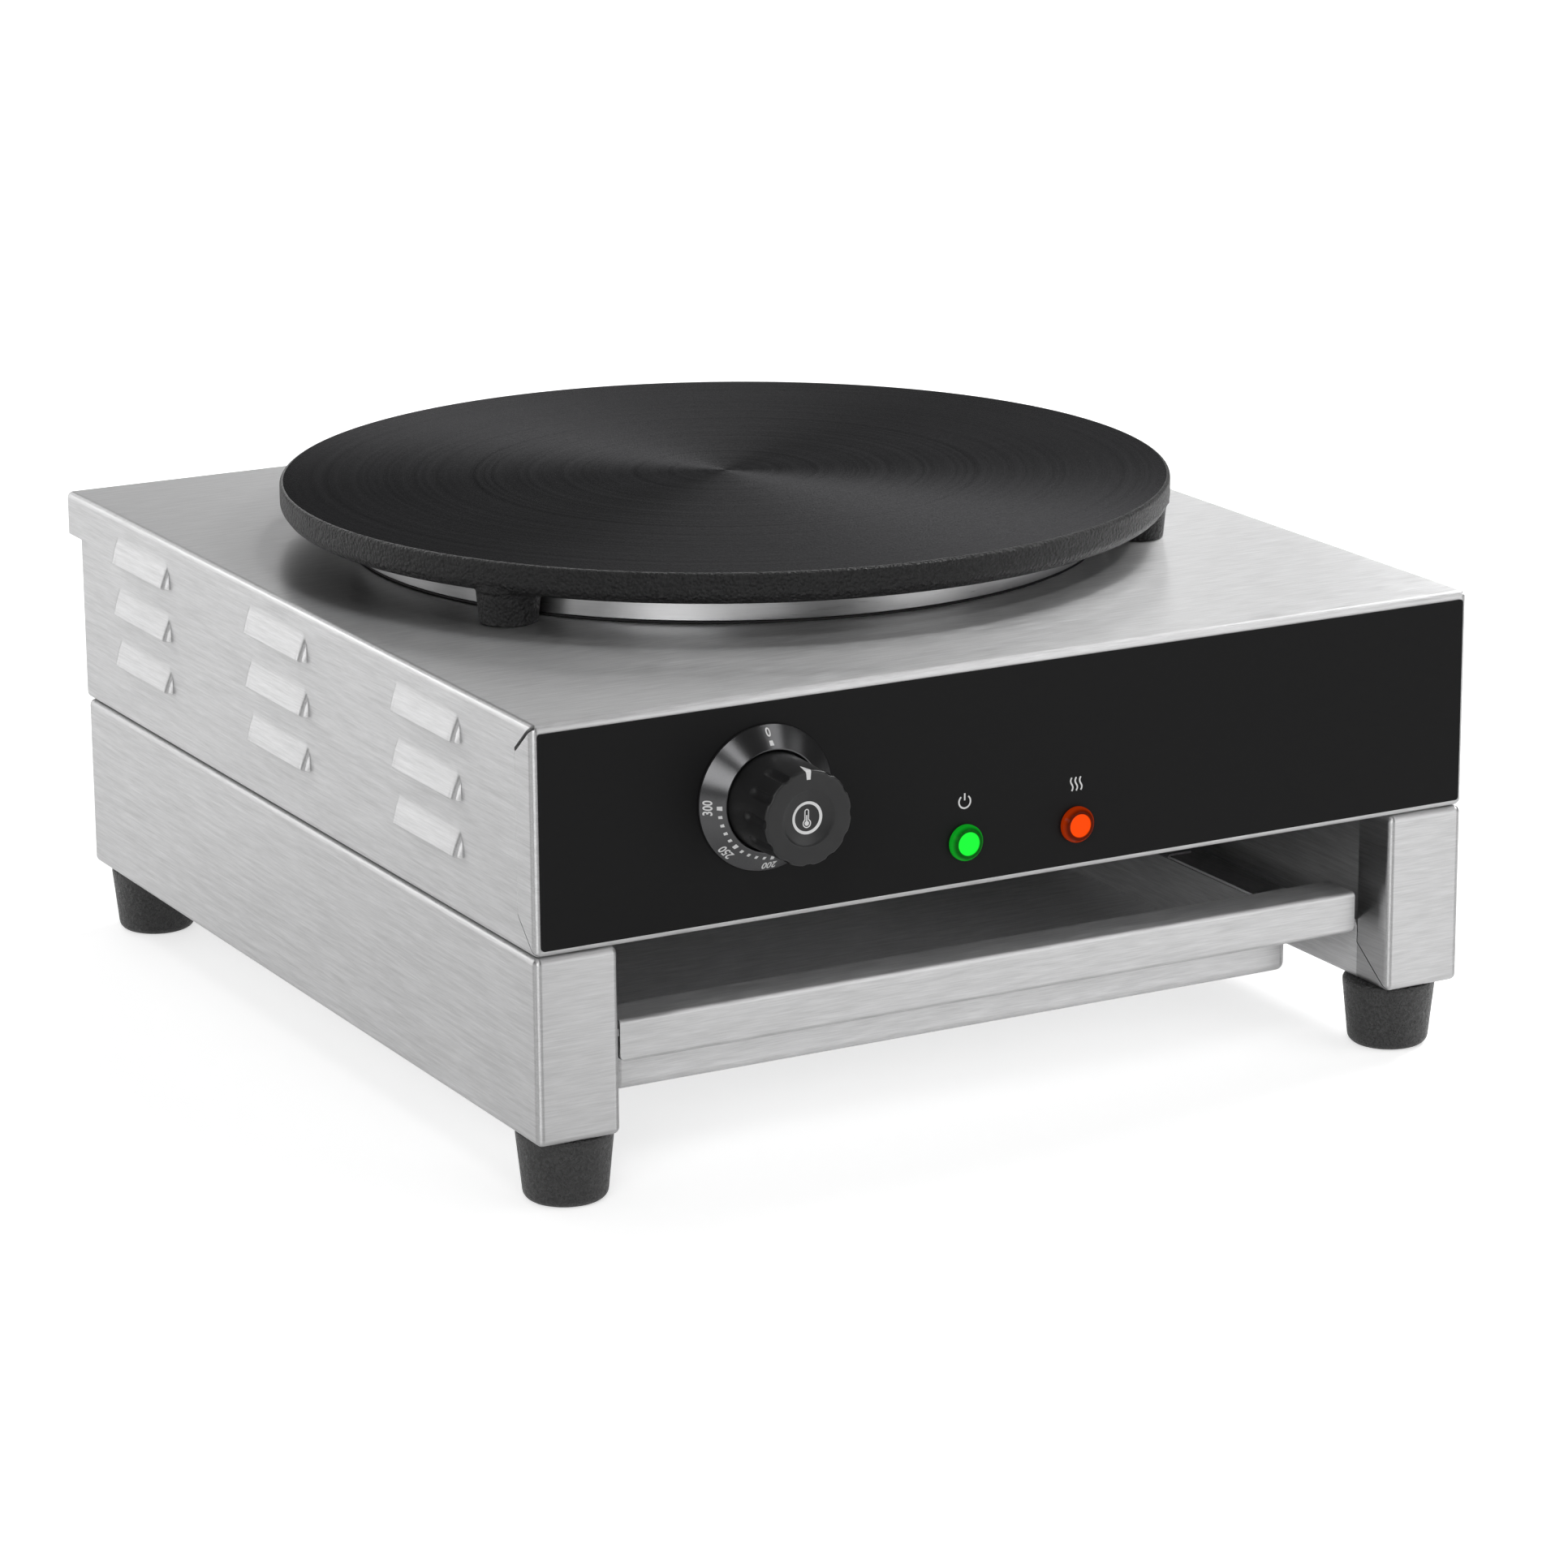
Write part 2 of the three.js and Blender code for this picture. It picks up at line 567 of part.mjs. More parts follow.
function housingFloor() {
  const gap = BEND + FIT;
  return prismZ(
    rectangle(-HALF_WIDTH + gap, HALF_WIDTH - gap, FRONT + gap, BACK_PANEL_IN - FIT, BEND - SHEET),
    FLOOR_LOW, FLOOR_TOP,
  );
}

const BACK_SCREWS = [-1, 1].flatMap((side) =>
  [0.12, 0.72].map((share) => [side * (HALF_WIDTH - 12), HOUSING_LOW + share * HOUSING_HEIGHT]));

function backPanel() {
  const gap = SHEET + FIT;
  const panel = prismY(
    rectangle(-HALF_WIDTH + gap, HALF_WIDTH - gap, HOUSING_LOW + gap, COVER_TOP - gap, BEND - SHEET),
    BACK_PANEL_IN, BACK_PANEL_OUT,
  );
  const through = (radius, sides) => spindle(radius, BACK_PANEL_IN - 1, BACK_PANEL_OUT + 1, sides);
  const slots = [-1, 1].flatMap((column) =>
    Array.from({ length: BACK_SLOT_ROWS }, (_, row) => {
      const x = column * (BACK_SLOT_LENGTH / 2 + BACK_SLOT_GAP) - BACK_SLOT_SHIFT;
      const z = COVER_TOP - REAR_LIP - BACK_SLOT_DROP - row * BACK_SLOT_PITCH;
      const half = BACK_SLOT_LENGTH / 2;
      const end = BACK_SLOT_HEIGHT / 2;
      return prismY(
        rectangle(x - half, x + half, z - end, z + end, end * 0.98), BACK_PANEL_IN - 1, BACK_PANEL_OUT + 1, 1,
      );
    }));
  return cut(
    panel,
    ...slots,
    through(GLAND_THREAD + FIT, ROUND).translate([GLAND_X, 0, GLAND_HEIGHT]),
    through(STUD_RADIUS + FIT, ROUND).translate([EARTH_X, 0, GLAND_HEIGHT]),
    ...BACK_SCREWS.map(([x, z]) => through(2.4, 8).translate([x, 0, z])),
  );
}

// A pan-head screw in the back panel, with a slot.
function backScrew() {
  const head = turnedFront(
    [[0, FIT], [3.8, FIT], [3.8, FIT + 1], [2.6, FIT + 2.2], [0, FIT + 2.2]],
    12,
  ).mirror([0, 1, 0]);
  const shank = spindle(2, -8, FIT + 0.2, 12);
  const recess = block(-2.4, 2.4, 1.3, 3, -0.4, 0.4);
  return cut(join(head, shank), recess).translate([0, BACK_PANEL_OUT, 0]);
}

// ---------------------------------------------------------------- base frame

// The right-hand rail: a folded side channel with its front and rear posts, inner lip and ledge.
function baseRail() {
  const inner = HALF_WIDTH - POST_WIDTH;
  const lipTop = BASE_LOW + RAIL_LIP;
  const body = foldedBox(inner, HALF_WIDTH, FRONT, BACK, BASE_LOW, BASE_TOP, BEND);
  const cavity = foldedBox(
    inner + SHEET, HALF_WIDTH - SHEET,
    FRONT + SHEET, BACK - SHEET,
    BASE_LOW + SHEET, BASE_TOP - SHEET,
    BEND - SHEET,
  );
  const y0 = FRONT + POST_RETURN;
  const y1 = BACK - POST_RETURN;
  const window = block(inner - 1, inner + 2 * SHEET, y0, y1, lipTop, BASE_TOP + 1);
  const topOpening = block(
    inner - 1, HALF_WIDTH - FLANGE, y0 + FLANGE, y1 - FLANGE, BASE_TOP - 2 * SHEET, BASE_TOP + 1,
  );
  const ledge = block(inner - LEDGE_WIDTH, inner + SHEET / 2, y0 + SEAM, y1 - SEAM, lipTop - SHEET, lipTop);
  const mitre = foldedSection(
    [[FRONT - SEAM, BASE_LOW - SEAM], [y0, BASE_LOW + POST_RETURN * 0.72], [y0, lipTop + 1]], SEAM, SEAM,
  );
  const slit = prismX(mitre, inner - 1, inner + SHEET + 0.5, 1);
  const screws = footPlaces(1).map(([x, y]) =>
    pillar(FOOT_SCREW_RADIUS + HOLE_FIT, BASE_LOW - 1, BASE_LOW + 3 * SHEET).translate([x, y, 0]));
  return cut(join(cut(body, cavity, window, topOpening), ledge), slit, slit.mirror([0, 1, 0]), ...screws);
}

function baseRearPanel() {
  const half = HALF_WIDTH - POST_WIDTH - FIT;
  const section = foldedSection(
    [
      [BACK - FLANGE, BASE_LOW + SHEET],
      [BACK, BASE_LOW + SHEET],
      [BACK, BASE_TOP],
      [BACK - FLANGE, BASE_TOP],
    ].map(([y, z]) => [y, z]).reverse(),
    SHEET,
    BEND,
  );
  return prismX(section, -half, half);
}

// ---------------------------------------------------------------- feet

function footPlaces(side) {
  return [-1, 1].map((end) => [side * (HALF_WIDTH - FOOT_INSET_X), end * (BACK - FOOT_INSET_Y)]);
}

function foot() {
  const slope = (FOOT_TOP_RADIUS - FOOT_SOLE_RADIUS) * (FOOT_EDGE / FOOT_HEIGHT);
  const top = FOOT_HEIGHT - FIT;
  const web = FOOT_HEIGHT - FOOT_WEB;
  const bore = FOOT_SCREW_RADIUS + HOLE_FIT;
  return turned(
    [
      [FOOT_RECESS_RADIUS, 0],
      ...quarter(FOOT_SOLE_RADIUS - FOOT_EDGE + slope, FOOT_EDGE, FOOT_EDGE, -90),
      [FOOT_TOP_RADIUS, top],
      [bore, top],
      [bore, web],
      [FOOT_RECESS_RADIUS, web],
      [FOOT_RECESS_RADIUS, 0],
    ],
    ROUND,
  );
}

function footScrew() {
  const headTop = FOOT_HEIGHT - FOOT_WEB - FIT;
  const shankTop = BASE_LOW + SHEET + 6;
  return turned(
    [
      [0, headTop - 4],
      [FOOT_SCREW_HEAD - 1.5, headTop - 4],
      [FOOT_SCREW_HEAD, headTop - 2],
      [FOOT_SCREW_HEAD, headTop],
      [FOOT_SCREW_RADIUS, headTop],
      [FOOT_SCREW_RADIUS, shankTop],
      [0, shankTop],
    ],
    12,
  );
}

// ---------------------------------------------------------------- drip tray

const TRAY_FACE = FRONT + TRAY_RECESS;
const TRAY_FRONT_TOP = BASE_LOW + TRAY_FRONT_LOW + TRAY_FRONT_HEIGHT;
const PAN_BOTTOM = BASE_LOW + PAN_LOW;
const PAN_FRONT = TRAY_FACE + PAN_SETBACK;

// The tray's front: a grip folded back at its top, and a flange below it that reaches the pan.
function trayFront() {
  const half = TRAY_FRONT_HALF;
  const low = BASE_LOW + TRAY_FRONT_LOW;
  const tab = PAN_FRONT - FIT - TRAY_SHEET;
  const section = foldedSection(
    [
      [tab, low - TRAY_TAB], [tab, low],
      [TRAY_FACE, low], [TRAY_FACE, TRAY_FRONT_TOP],
      [TRAY_FACE + TRAY_GRIP, TRAY_FRONT_TOP],
    ],
    TRAY_SHEET, TRAY_BEND,
  );
  const faceOutline = outline([
    [-half, low, TRAY_CORNER], [half, low, TRAY_CORNER],
    [half, TRAY_FRONT_TOP + 1], [-half, TRAY_FRONT_TOP + 1],
  ]);
  const wide = prismY(faceOutline, TRAY_FACE - 1, TRAY_FACE + TRAY_GRIP + 1);
  const neck = PAN_HALF - PAN_CORNER;
  const narrow = block(-neck, neck, TRAY_FACE + TRAY_GRIP, PAN_FRONT, low - TRAY_TAB - 1, low + TRAY_TAB);
  return common(prismX(section, -half, half), join(wide, narrow));
}

function trayPan() {
  const half = PAN_HALF;
  const y0 = PAN_FRONT;
  const y1 = y0 + PAN_DEPTH;
  const rim = PAN_BOTTOM + PAN_HEIGHT;
  const outer = foldedBox(-half, half, y0, y1, PAN_BOTTOM, rim + 2 * PAN_CORNER, PAN_CORNER);
  const cavity = foldedBox(
    -half + TRAY_SHEET, half - TRAY_SHEET,
    y0 + TRAY_SHEET, y1 - TRAY_SHEET,
    PAN_BOTTOM + TRAY_SHEET, rim + 3 * PAN_CORNER,
    PAN_CORNER - TRAY_SHEET,
  );
  return cut(outer, cavity, block(-half - 1, half + 1, y0 - 1, y1 + 1, rim, rim + 4 * PAN_CORNER));
}

// The right-hand glide: an angle on the pan's side whose top flange rides on the rail's ledge.
function trayGlide() {
  const x0 = PAN_HALF + FIT;
  const x1 = x0 + GLIDE_REACH;
  const low = BASE_LOW + RAIL_LIP + FIT;
  const top = low + TRAY_SHEET;
  const section = foldedSection([[x0, low - GLIDE_DROP], [x0, top], [x1, top]], TRAY_SHEET, 1.6);
  const y0 = PAN_FRONT + GLIDE_SETBACK;
  const notch = y0 + GLIDE_PAD;
  return cut(
    prismY(section, y0, y0 + GLIDE_LENGTH),
    block(x0 - 1, x1 + 1, notch, notch + GLIDE_NOTCH, low - GLIDE_NOTCH_DEPTH, top + 1),
  );
}

// ---------------------------------------------------------------- plate and heater

function griddlePlate() {
  const under = PLATE_LOW + PLATE_UNDER_EDGE;
  const disc = turned(
    [
      [0, PLATE_LOW],
      ...quarter(PLATE_UNDERSIDE_RADIUS - PLATE_UNDER_EDGE, under, PLATE_UNDER_EDGE, -90),
      ...quarter(PLATE_RADIUS - PLATE_EDGE, PLATE_TOP - PLATE_EDGE, PLATE_EDGE, 0),
      [0, PLATE_TOP],
    ],
    PLATE_ROUND,
  ).translate([0, PLATE_Y, 0]);
  const legLow = COVER_TOP + FIT;
  const leg = turned([
    [0, legLow], [LEG_FOOT_RADIUS - 1, legLow], [LEG_FOOT_RADIUS, legLow + 1],
    [LEG_TOP_RADIUS, PLATE_LOW], [LEG_TOP_RADIUS, under], [0, under],
  ]);
  const bore = pillar(BOLT_RADIUS + FIT, legLow - 1, legLow + BOLT_DEPTH);
  const centreBore = pillar(BOLT_RADIUS + FIT, PLATE_LOW - 1, PLATE_LOW + PLATE_THICKNESS / 2);
  const atLegs = (tool) => LEG_ANGLES.map((angle) => tool.translate([...roundPlate(LEG_CIRCLE, angle), 0]));
  return cut(join(disc, ...atLegs(leg)), ...atLegs(bore), centreBore.translate([0, PLATE_Y, 0]));
}

function hexagon(flat, z0, z1) {
  const corner = flat / Math.cos(Math.PI / 6);
  return pillar(corner, z0, z1, 6);
}

function legBolt() {
  const underCover = COVER_TOP - SHEET - FIT;
  return join(
    hexagon(BOLT_HEAD, underCover - BOLT_HEAD_HEIGHT, underCover),
    pillar(BOLT_RADIUS, underCover - 1, COVER_TOP + BOLT_DEPTH - 2),
  );
}

function skirtRing() {
  const low = COVER_TOP + FIT + SEAL_HEIGHT + FIT;
  return collar(SKIRT_RADIUS - SKIRT_WALL, SKIRT_RADIUS, low, PLATE_LOW - FIT, RING_ROUND)
    .translate([0, PLATE_Y, 0]);
}

function skirtSeal() {
  const low = COVER_TOP + FIT;
  const outer = SKIRT_RADIUS - SEAL_INSET;
  return collar(outer - SEAL_WIDTH, outer, low, low + SEAL_HEIGHT, RING_ROUND).translate([0, PLATE_Y, 0]);
}

// Where an element's two ends turn down.
function elementEnds(radius) {
  const open = THREE.MathUtils.radToDeg(ELEMENT_TUBE * 3.4 / radius) + ELEMENT_OPEN / 2;
  return [90 - open, 90 + open];
}

function heatingElement(radius) {
  const [first, last] = elementEnds(radius);
  const bendDegrees = THREE.MathUtils.radToDeg(ELEMENT_BEND / radius);
  const sweep = 360 - (last - first) - 2 * bendDegrees;
  const steps = Math.round(radius / 5);
  const at = (degrees, z) => new THREE.Vector3(...roundPlate(radius, degrees), z);
  const bend = Array.from({ length: ARC_STEPS }, (_, i) => {
    const angle = (Math.PI / 2) * (i / ARC_STEPS);
    return [bendDegrees * (1 - Math.cos(angle)), ELEMENT_HEIGHT - ELEMENT_BEND * (1 - Math.sin(angle))];
  });
  const tailLow = ELEMENT_HEIGHT - ELEMENT_TAIL;
  const ring = Array.from({ length: steps + 1 }, (_, i) =>
    at(last + bendDegrees + (sweep * i) / steps, ELEMENT_HEIGHT));
  const points = [
    at(last, tailLow),
    ...bend.map(([turn, z]) => at(last + turn, z)),
    ...ring,
    ...bend.reverse().map(([turn, z]) => at(first - turn, z)),
    at(first, tailLow),
  ];
  return bar(points, ELEMENT_TUBE, 6);
}

const BULB_Y = PLATE_Y - (OUTER_RING + INNER_RING) / 2;
const CAPILLARY_X = -BULB_LENGTH / 2 - 6;

// Holes through the clamp plate, the insulation and the shield: element ends, stud and capillary.
function heaterHoles(z0, z1) {
  const ends = [OUTER_RING, INNER_RING].flatMap((radius) =>
    elementEnds(radius).map((degrees) =>
      pillar(ELEMENT_TUBE + 5.5, z0, z1, 8).translate([...roundPlate(radius, degrees), 0])));
  const stud = pillar(BOLT_RADIUS + HOLE_FIT, z0, z1, 12).translate([0, PLATE_Y, 0]);
  const tube = pillar(CAPILLARY_RADIUS + 2.5, z0, z1, 8).translate([CAPILLARY_X, BULB_Y, 0]);
  return [...ends, stud, tube];
}

function clampPlate() {
  const disc = pillar(CLAMP_RADIUS, CLAMP_LOW, CLAMP_TOP, DISC_ROUND).translate([0, PLATE_Y, 0]);
  return cut(disc, ...heaterHoles(CLAMP_LOW - 1, CLAMP_TOP + 1));
}

function insulationDisc() {
  const low = SHIELD_LOW + SHIELD_WALL + FIT;
  const disc = pillar(INSULATION_RADIUS, low, CLAMP_LOW - FIT, DISC_ROUND).translate([0, PLATE_Y, 0]);
  return cut(disc, ...heaterHoles(low - 1, CLAMP_LOW + 1));
}

function heatShield() {
  const dish = turned(
    [
      [0, SHIELD_LOW],
      [SHIELD_RADIUS, SHIELD_LOW],
      [SHIELD_RADIUS, SHIELD_RIM - SHIELD_WALL],
      [SHIELD_RIM_RADIUS, SHIELD_RIM - SHIELD_WALL],
      [SHIELD_RIM_RADIUS, SHIELD_RIM],
      [SHIELD_RADIUS - SHIELD_WALL, SHIELD_RIM],
      [SHIELD_RADIUS - SHIELD_WALL, SHIELD_LOW + SHIELD_WALL],
      [0, SHIELD_LOW + SHIELD_WALL],
    ],
    DISC_ROUND,
  ).translate([0, PLATE_Y, 0]);
  return cut(dish, ...heaterHoles(SHIELD_LOW - 1, SHIELD_LOW + 3));
}

function clampStud() {
  return pillar(BOLT_RADIUS, SHIELD_LOW - NUT_HEIGHT - 4, PLATE_LOW + PLATE_THICKNESS / 2 - 1)
    .translate([0, PLATE_Y, 0]);
}

function clampNut() {
  const top = SHIELD_LOW - FIT;
  return cut(
    hexagon(BOLT_HEAD, top - NUT_HEIGHT, top),
    pillar(BOLT_RADIUS + FIT, top - NUT_HEIGHT - 1, top + 1),
  ).translate([0, PLATE_Y, 0]);
}

// Snap-disc overheat cut-out under the shield.
const CUTOUT_PLACE = [CUTOUT_X, PLATE_Y - CUTOUT_FORWARD];

function safetyCutout() {
  const top = SHIELD_LOW - FIT;
  const low = top - CUTOUT_HEIGHT;
  const waist = CUTOUT_RADIUS - CUTOUT_RIM * 0.6;
  const reach = CUTOUT_RADIUS + CUTOUT_EAR;
  const can = turned([
    [0, low], [waist, low], [waist, top - CUTOUT_RIM],
    [CUTOUT_RADIUS, top - CUTOUT_RIM], [CUTOUT_RADIUS, top], [0, top],
  ]);
  const ears = block(-reach, reach, -CUTOUT_RIM, CUTOUT_RIM, top - SHEET, top);
  const tab = (x) => block(x - 0.5, x + 0.5, -3, 3, low - CUTOUT_TAB, low + 1);
  const tabs = [-CUTOUT_TAB / 2, CUTOUT_TAB / 2].map(tab);
  return join(can, ears, ...tabs).translate([...CUTOUT_PLACE, 0]);
}

// ---------------------------------------------------------------- controls

const fromPanel = (solid) => solid.translate([KNOB_X, FRONT, KNOB_HEIGHT]);
const DIAL_SEAT = FRONT - OVERLAY_FACE + FIT; // dial ring's back, in front of the panel
const THERMOSTAT_BACK_OFF = SHEET + FIT + SHEET + FIT; // thermostat's face behind the panel's face

function dialRing() {
  const pocket = KNOB_RADIUS + DIAL_POCKET_GAP;
  const bore = BUSH_RADIUS + HOLE_FIT;
  return fromPanel(turnedFront(
    [
      [bore, DIAL_SEAT],
      [DIAL_RADIUS, DIAL_SEAT],
      [DIAL_RADIUS, DIAL_SEAT + DIAL_RIM],
      [pocket + 0.8, DIAL_SEAT + DIAL_HEIGHT],
      [pocket + 0.2, DIAL_SEAT + DIAL_HEIGHT],
      [pocket, DIAL_SEAT + DIAL_BACK],
      [bore, DIAL_SEAT + DIAL_BACK],
      [bore, DIAL_SEAT],
    ],
    DISC_ROUND,
  ));
}

function knob() {
  const base = DIAL_SEAT + DIAL_BACK + 0.8;
  const dishSteps = 3;
  const dish = Array.from({ length: dishSteps + 1 }, (_, i) => {
    const share = 1 - i / dishSteps;
    return [KNOB_DISH * share, KNOB_REACH - KNOB_DISH_DEPTH * (1 - share * share)];
  });
  const body = turnedFront(
    [
      [0, base],
      [KNOB_RADIUS - 0.6, base],
      [KNOB_RADIUS, base + 0.6],
      ...quarter(KNOB_FACE_RADIUS - KNOB_EDGE, KNOB_REACH - KNOB_EDGE, KNOB_EDGE, 0, 2),
      ...dish,
    ],
    DISC_ROUND,
  );
  const flutes = Array.from({ length: FLUTE_COUNT - 1 }, (_, i) => {
    const angle = (2 * Math.PI * (i + 1)) / FLUTE_COUNT;
    const radius = KNOB_RADIUS + FLUTE_RADIUS * 0.45;
    return spindle(FLUTE_RADIUS, -KNOB_REACH - 1, FLUTE_LENGTH - KNOB_REACH, 6)
      .translate([radius * Math.sin(angle), 0, radius * Math.cos(angle)]);
  });
  const bore = spindle(SHAFT_RADIUS + FIT, -base - 20, 0, 16);
  return fromPanel(cut(body, bore, ...flutes));
}

function thermostatShaft() {
  const front = DIAL_SEAT + DIAL_BACK + 0.8 + 18;
  return fromPanel(spindle(SHAFT_RADIUS, -front, SHAFT_LENGTH - front, 16));
}

function thermostatBracket() {
  const z = BRACKET_HEIGHT / 2;
  const x = BRACKET_WIDTH / 2;
  const from = SHEET + FIT;
  const plate = prismY(rectangle(-x, x, -z, z, 3), from, from + SHEET);
  const wings = [-1, 1].map((side) => {
    const edge = side * (THERMOSTAT_WIDTH / 2 + 1.5);
    return block(Math.min(edge, edge + side * SHEET), Math.max(edge, edge + side * SHEET), from + 0.4,
      from + 16, -z + 4, z - 4);
  });
  return fromPanel(cut(join(plate, ...wings), spindle(BUSH_RADIUS + HOLE_FIT, from - 1, from + SHEET + 1)));
}

function thermostatBody() {
  const from = THERMOSTAT_BACK_OFF;
  const x = THERMOSTAT_WIDTH / 2;
  const z = THERMOSTAT_HEIGHT / 2;
  const back = from + THERMOSTAT_DEPTH;
  const block1 = prismY(rectangle(-x, x, -z, z, 2), from, back);
  const bush = spindle(BUSH_RADIUS, -DIAL_SEAT - 1, from + 1);
  const bellows = spindle(BELLOWS_RADIUS, back - 1, back + BELLOWS_DEPTH);
  const tab = (dx, dz) => block(dx - 3, dx + 3, back - 1, back + TAB_LENGTH, dz - 0.4, dz + 0.4);
  const tabs = [-1, 1].flatMap((side) => [-TAB_Z, TAB_Z].map((dz) => tab(side * TAB_X, dz)));
  const bore = spindle(SHAFT_RADIUS + RUN_FIT, -DIAL_SEAT - 2, SHAFT_LENGTH, 24);
  return fromPanel(cut(join(block1, bush, bellows, ...tabs), bore));
}

function capillary() {
  const z = PLATE_LOW - FIT - BULB_RADIUS;
  const bulb = spindle(BULB_RADIUS, -BULB_LENGTH / 2, BULB_LENGTH / 2, 12)
    .rotate([0, 0, 90])
    .translate([0, BULB_Y, z]);
  const backOff = FRONT + THERMOSTAT_BACK_OFF + THERMOSTAT_DEPTH + BELLOWS_DEPTH;
  const step = CAPILLARY_BEND;
  const tube = bar(smooth([
      [-BULB_LENGTH / 2 + 1, BULB_Y, z],
      [CAPILLARY_X, BULB_Y, z - 2.5],
      [CAPILLARY_X, BULB_Y, SHIELD_LOW + step / 2],
      [CAPILLARY_X, BULB_Y, SHIELD_LOW - step],
      [CAPILLARY_X - 1.75 * step, BULB_Y - 2.75 * step, SHIELD_LOW - 3 * step],
      [KNOB_X + 2.75 * step, backOff + 6.5 * step, KNOB_HEIGHT - step],
      [KNOB_X + step / 2, backOff + 4.25 * step, KNOB_HEIGHT - step / 2],
      [KNOB_X, backOff + 1.75 * step, KNOB_HEIGHT],
      [KNOB_X, backOff + FIT, KNOB_HEIGHT],
    ], 32),
    CAPILLARY_RADIUS,
    6,
  );
  return join(bulb, tube);
}

function lampLens(x) {
  const seat = DIAL_SEAT;
  return turnedFront(
    [
      [0, seat - 7],
      [LAMP_SPIGOT, seat - 7],
      [LAMP_SPIGOT, seat],
      [LAMP_RADIUS, seat],
      [LAMP_RADIUS, seat + LAMP_REACH * 0.45],
      [LAMP_RADIUS - 1.6, seat + LAMP_REACH],
      [LAMP_RADIUS - 2.6, seat + LAMP_REACH],
      [LAMP_RADIUS - 3.1, seat + LAMP_REACH - 0.7],
      [0, seat + LAMP_REACH - 0.7],
    ],
    ROUND,
  ).translate([x, FRONT, LAMP_HEIGHT]);
}

function lampBody(x) {
  const front = DIAL_SEAT - FIT;
  const back = front - LAMP_BODY_LENGTH;
  const tube = turnedFront([
    [0, back],
    [LAMP_BODY_RADIUS, back],
    [LAMP_BODY_RADIUS, front],
    [LAMP_SPIGOT + FIT, front],
    [LAMP_SPIGOT + FIT, front - 8],
    [0, front - 8],
  ]);
  const pins = [-LAMP_PIN_X, LAMP_PIN_X].map((dx) =>
    block(dx - 1.2, dx + 1.2, -back - 0.5, -back + LAMP_PIN_LENGTH, -0.4, 0.4));
  return join(tube, ...pins).translate([x, FRONT, LAMP_HEIGHT]);
}

function lampNut(x) {
  const from = SHEET + FIT;
  const ring = turnedFront(
    [[0, -from - 4], [LAMP_NUT_RADIUS, -from - 4], [LAMP_NUT_RADIUS, -from], [0, -from]], 6,
  );
  return cut(ring, spindle(LAMP_BODY_RADIUS + FIT, from - 1, from + 5)).translate([x, FRONT, LAMP_HEIGHT]);
}

// ---------------------------------------------------------------- supply

const GLAND_HEIGHT = HOUSING_LOW + GLAND_Z;
const EARTH_X = GLAND_X - EARTH_PITCH;
const TERMINAL_Y = BACK_PANEL_IN - TERMINAL_SETBACK;

function cableGland() {
  const hexReach = 6;
  const profile = [
    [GLAND_BORE, -14],
    [GLAND_THREAD, -14],
    [GLAND_THREAD, FIT],
    [GLAND_THREAD, FIT + hexReach],
    [GLAND_THREAD, GLAND_REACH - 3],
    [GLAND_BORE + 2.4, GLAND_REACH],
    [GLAND_BORE, GLAND_REACH],
    [GLAND_BORE, -14],
  ];
  const barrel = turnedFront(profile).mirror([0, 1, 0]);
  const corner = GLAND_HEX / Math.cos(Math.PI / 6);
  const nut = turnedFront(
    [
      [GLAND_BORE, FIT], [corner, FIT], [corner, FIT + hexReach],
      [GLAND_BORE, FIT + hexReach], [GLAND_BORE, FIT],
    ],
    6,
  ).mirror([0, 1, 0]);
  const bore = spindle(GLAND_BORE, -GLAND_REACH, GLAND_REACH + 1);
  return cut(join(barrel, nut), bore).translate([GLAND_X, BACK_PANEL_OUT, GLAND_HEIGHT]);
}

function glandLocknut() {
  const corner = GLAND_HEX / Math.cos(Math.PI / 6);
  const y1 = BACK_PANEL_IN - FIT;
  return cut(
    spindle(corner, y1 - 5, y1, 6),
    spindle(GLAND_THREAD + FIT, y1 - 6, y1 + 1, ROUND),
  ).translate([GLAND_X, 0, GLAND_HEIGHT]);
}

function earthStud() {
  return spindle(STUD_RADIUS, BACK_PANEL_IN - 14, BACK_PANEL_OUT + 6, 16)
    .translate([EARTH_X, 0, GLAND_HEIGHT]);
}

function earthNut(y0) {
  return cut(
    spindle(6, y0, y0 + 4.5, 6),
    spindle(STUD_RADIUS + FIT, y0 - 1, y0 + 6, 16),
  ).translate([EARTH_X, 0, GLAND_HEIGHT]);
}

function terminalBlock() {
  const x = TERMINAL_LENGTH / 2;
  const base = FLOOR_TOP + FIT;
  const body = block(-x, x, -TERMINAL_DEPTH / 2, TERMINAL_DEPTH / 2, base, base + TERMINAL_HEIGHT);
  const pitch = TERMINAL_LENGTH / 3;
  const entries = [-pitch, 0, pitch].flatMap((dx) => [
    spindle(2.6, -TERMINAL_DEPTH, TERMINAL_DEPTH, 12).translate([dx, 0, base + TERMINAL_WAY]),
    pillar(3, base + TERMINAL_HEIGHT - 5, base + TERMINAL_HEIGHT + 1, 12).translate([dx, 0, 0]),
  ]);
  return cut(body, ...entries).translate([GLAND_X, TERMINAL_Y, 0]);
}

// ---------------------------------------------------------------- wiring

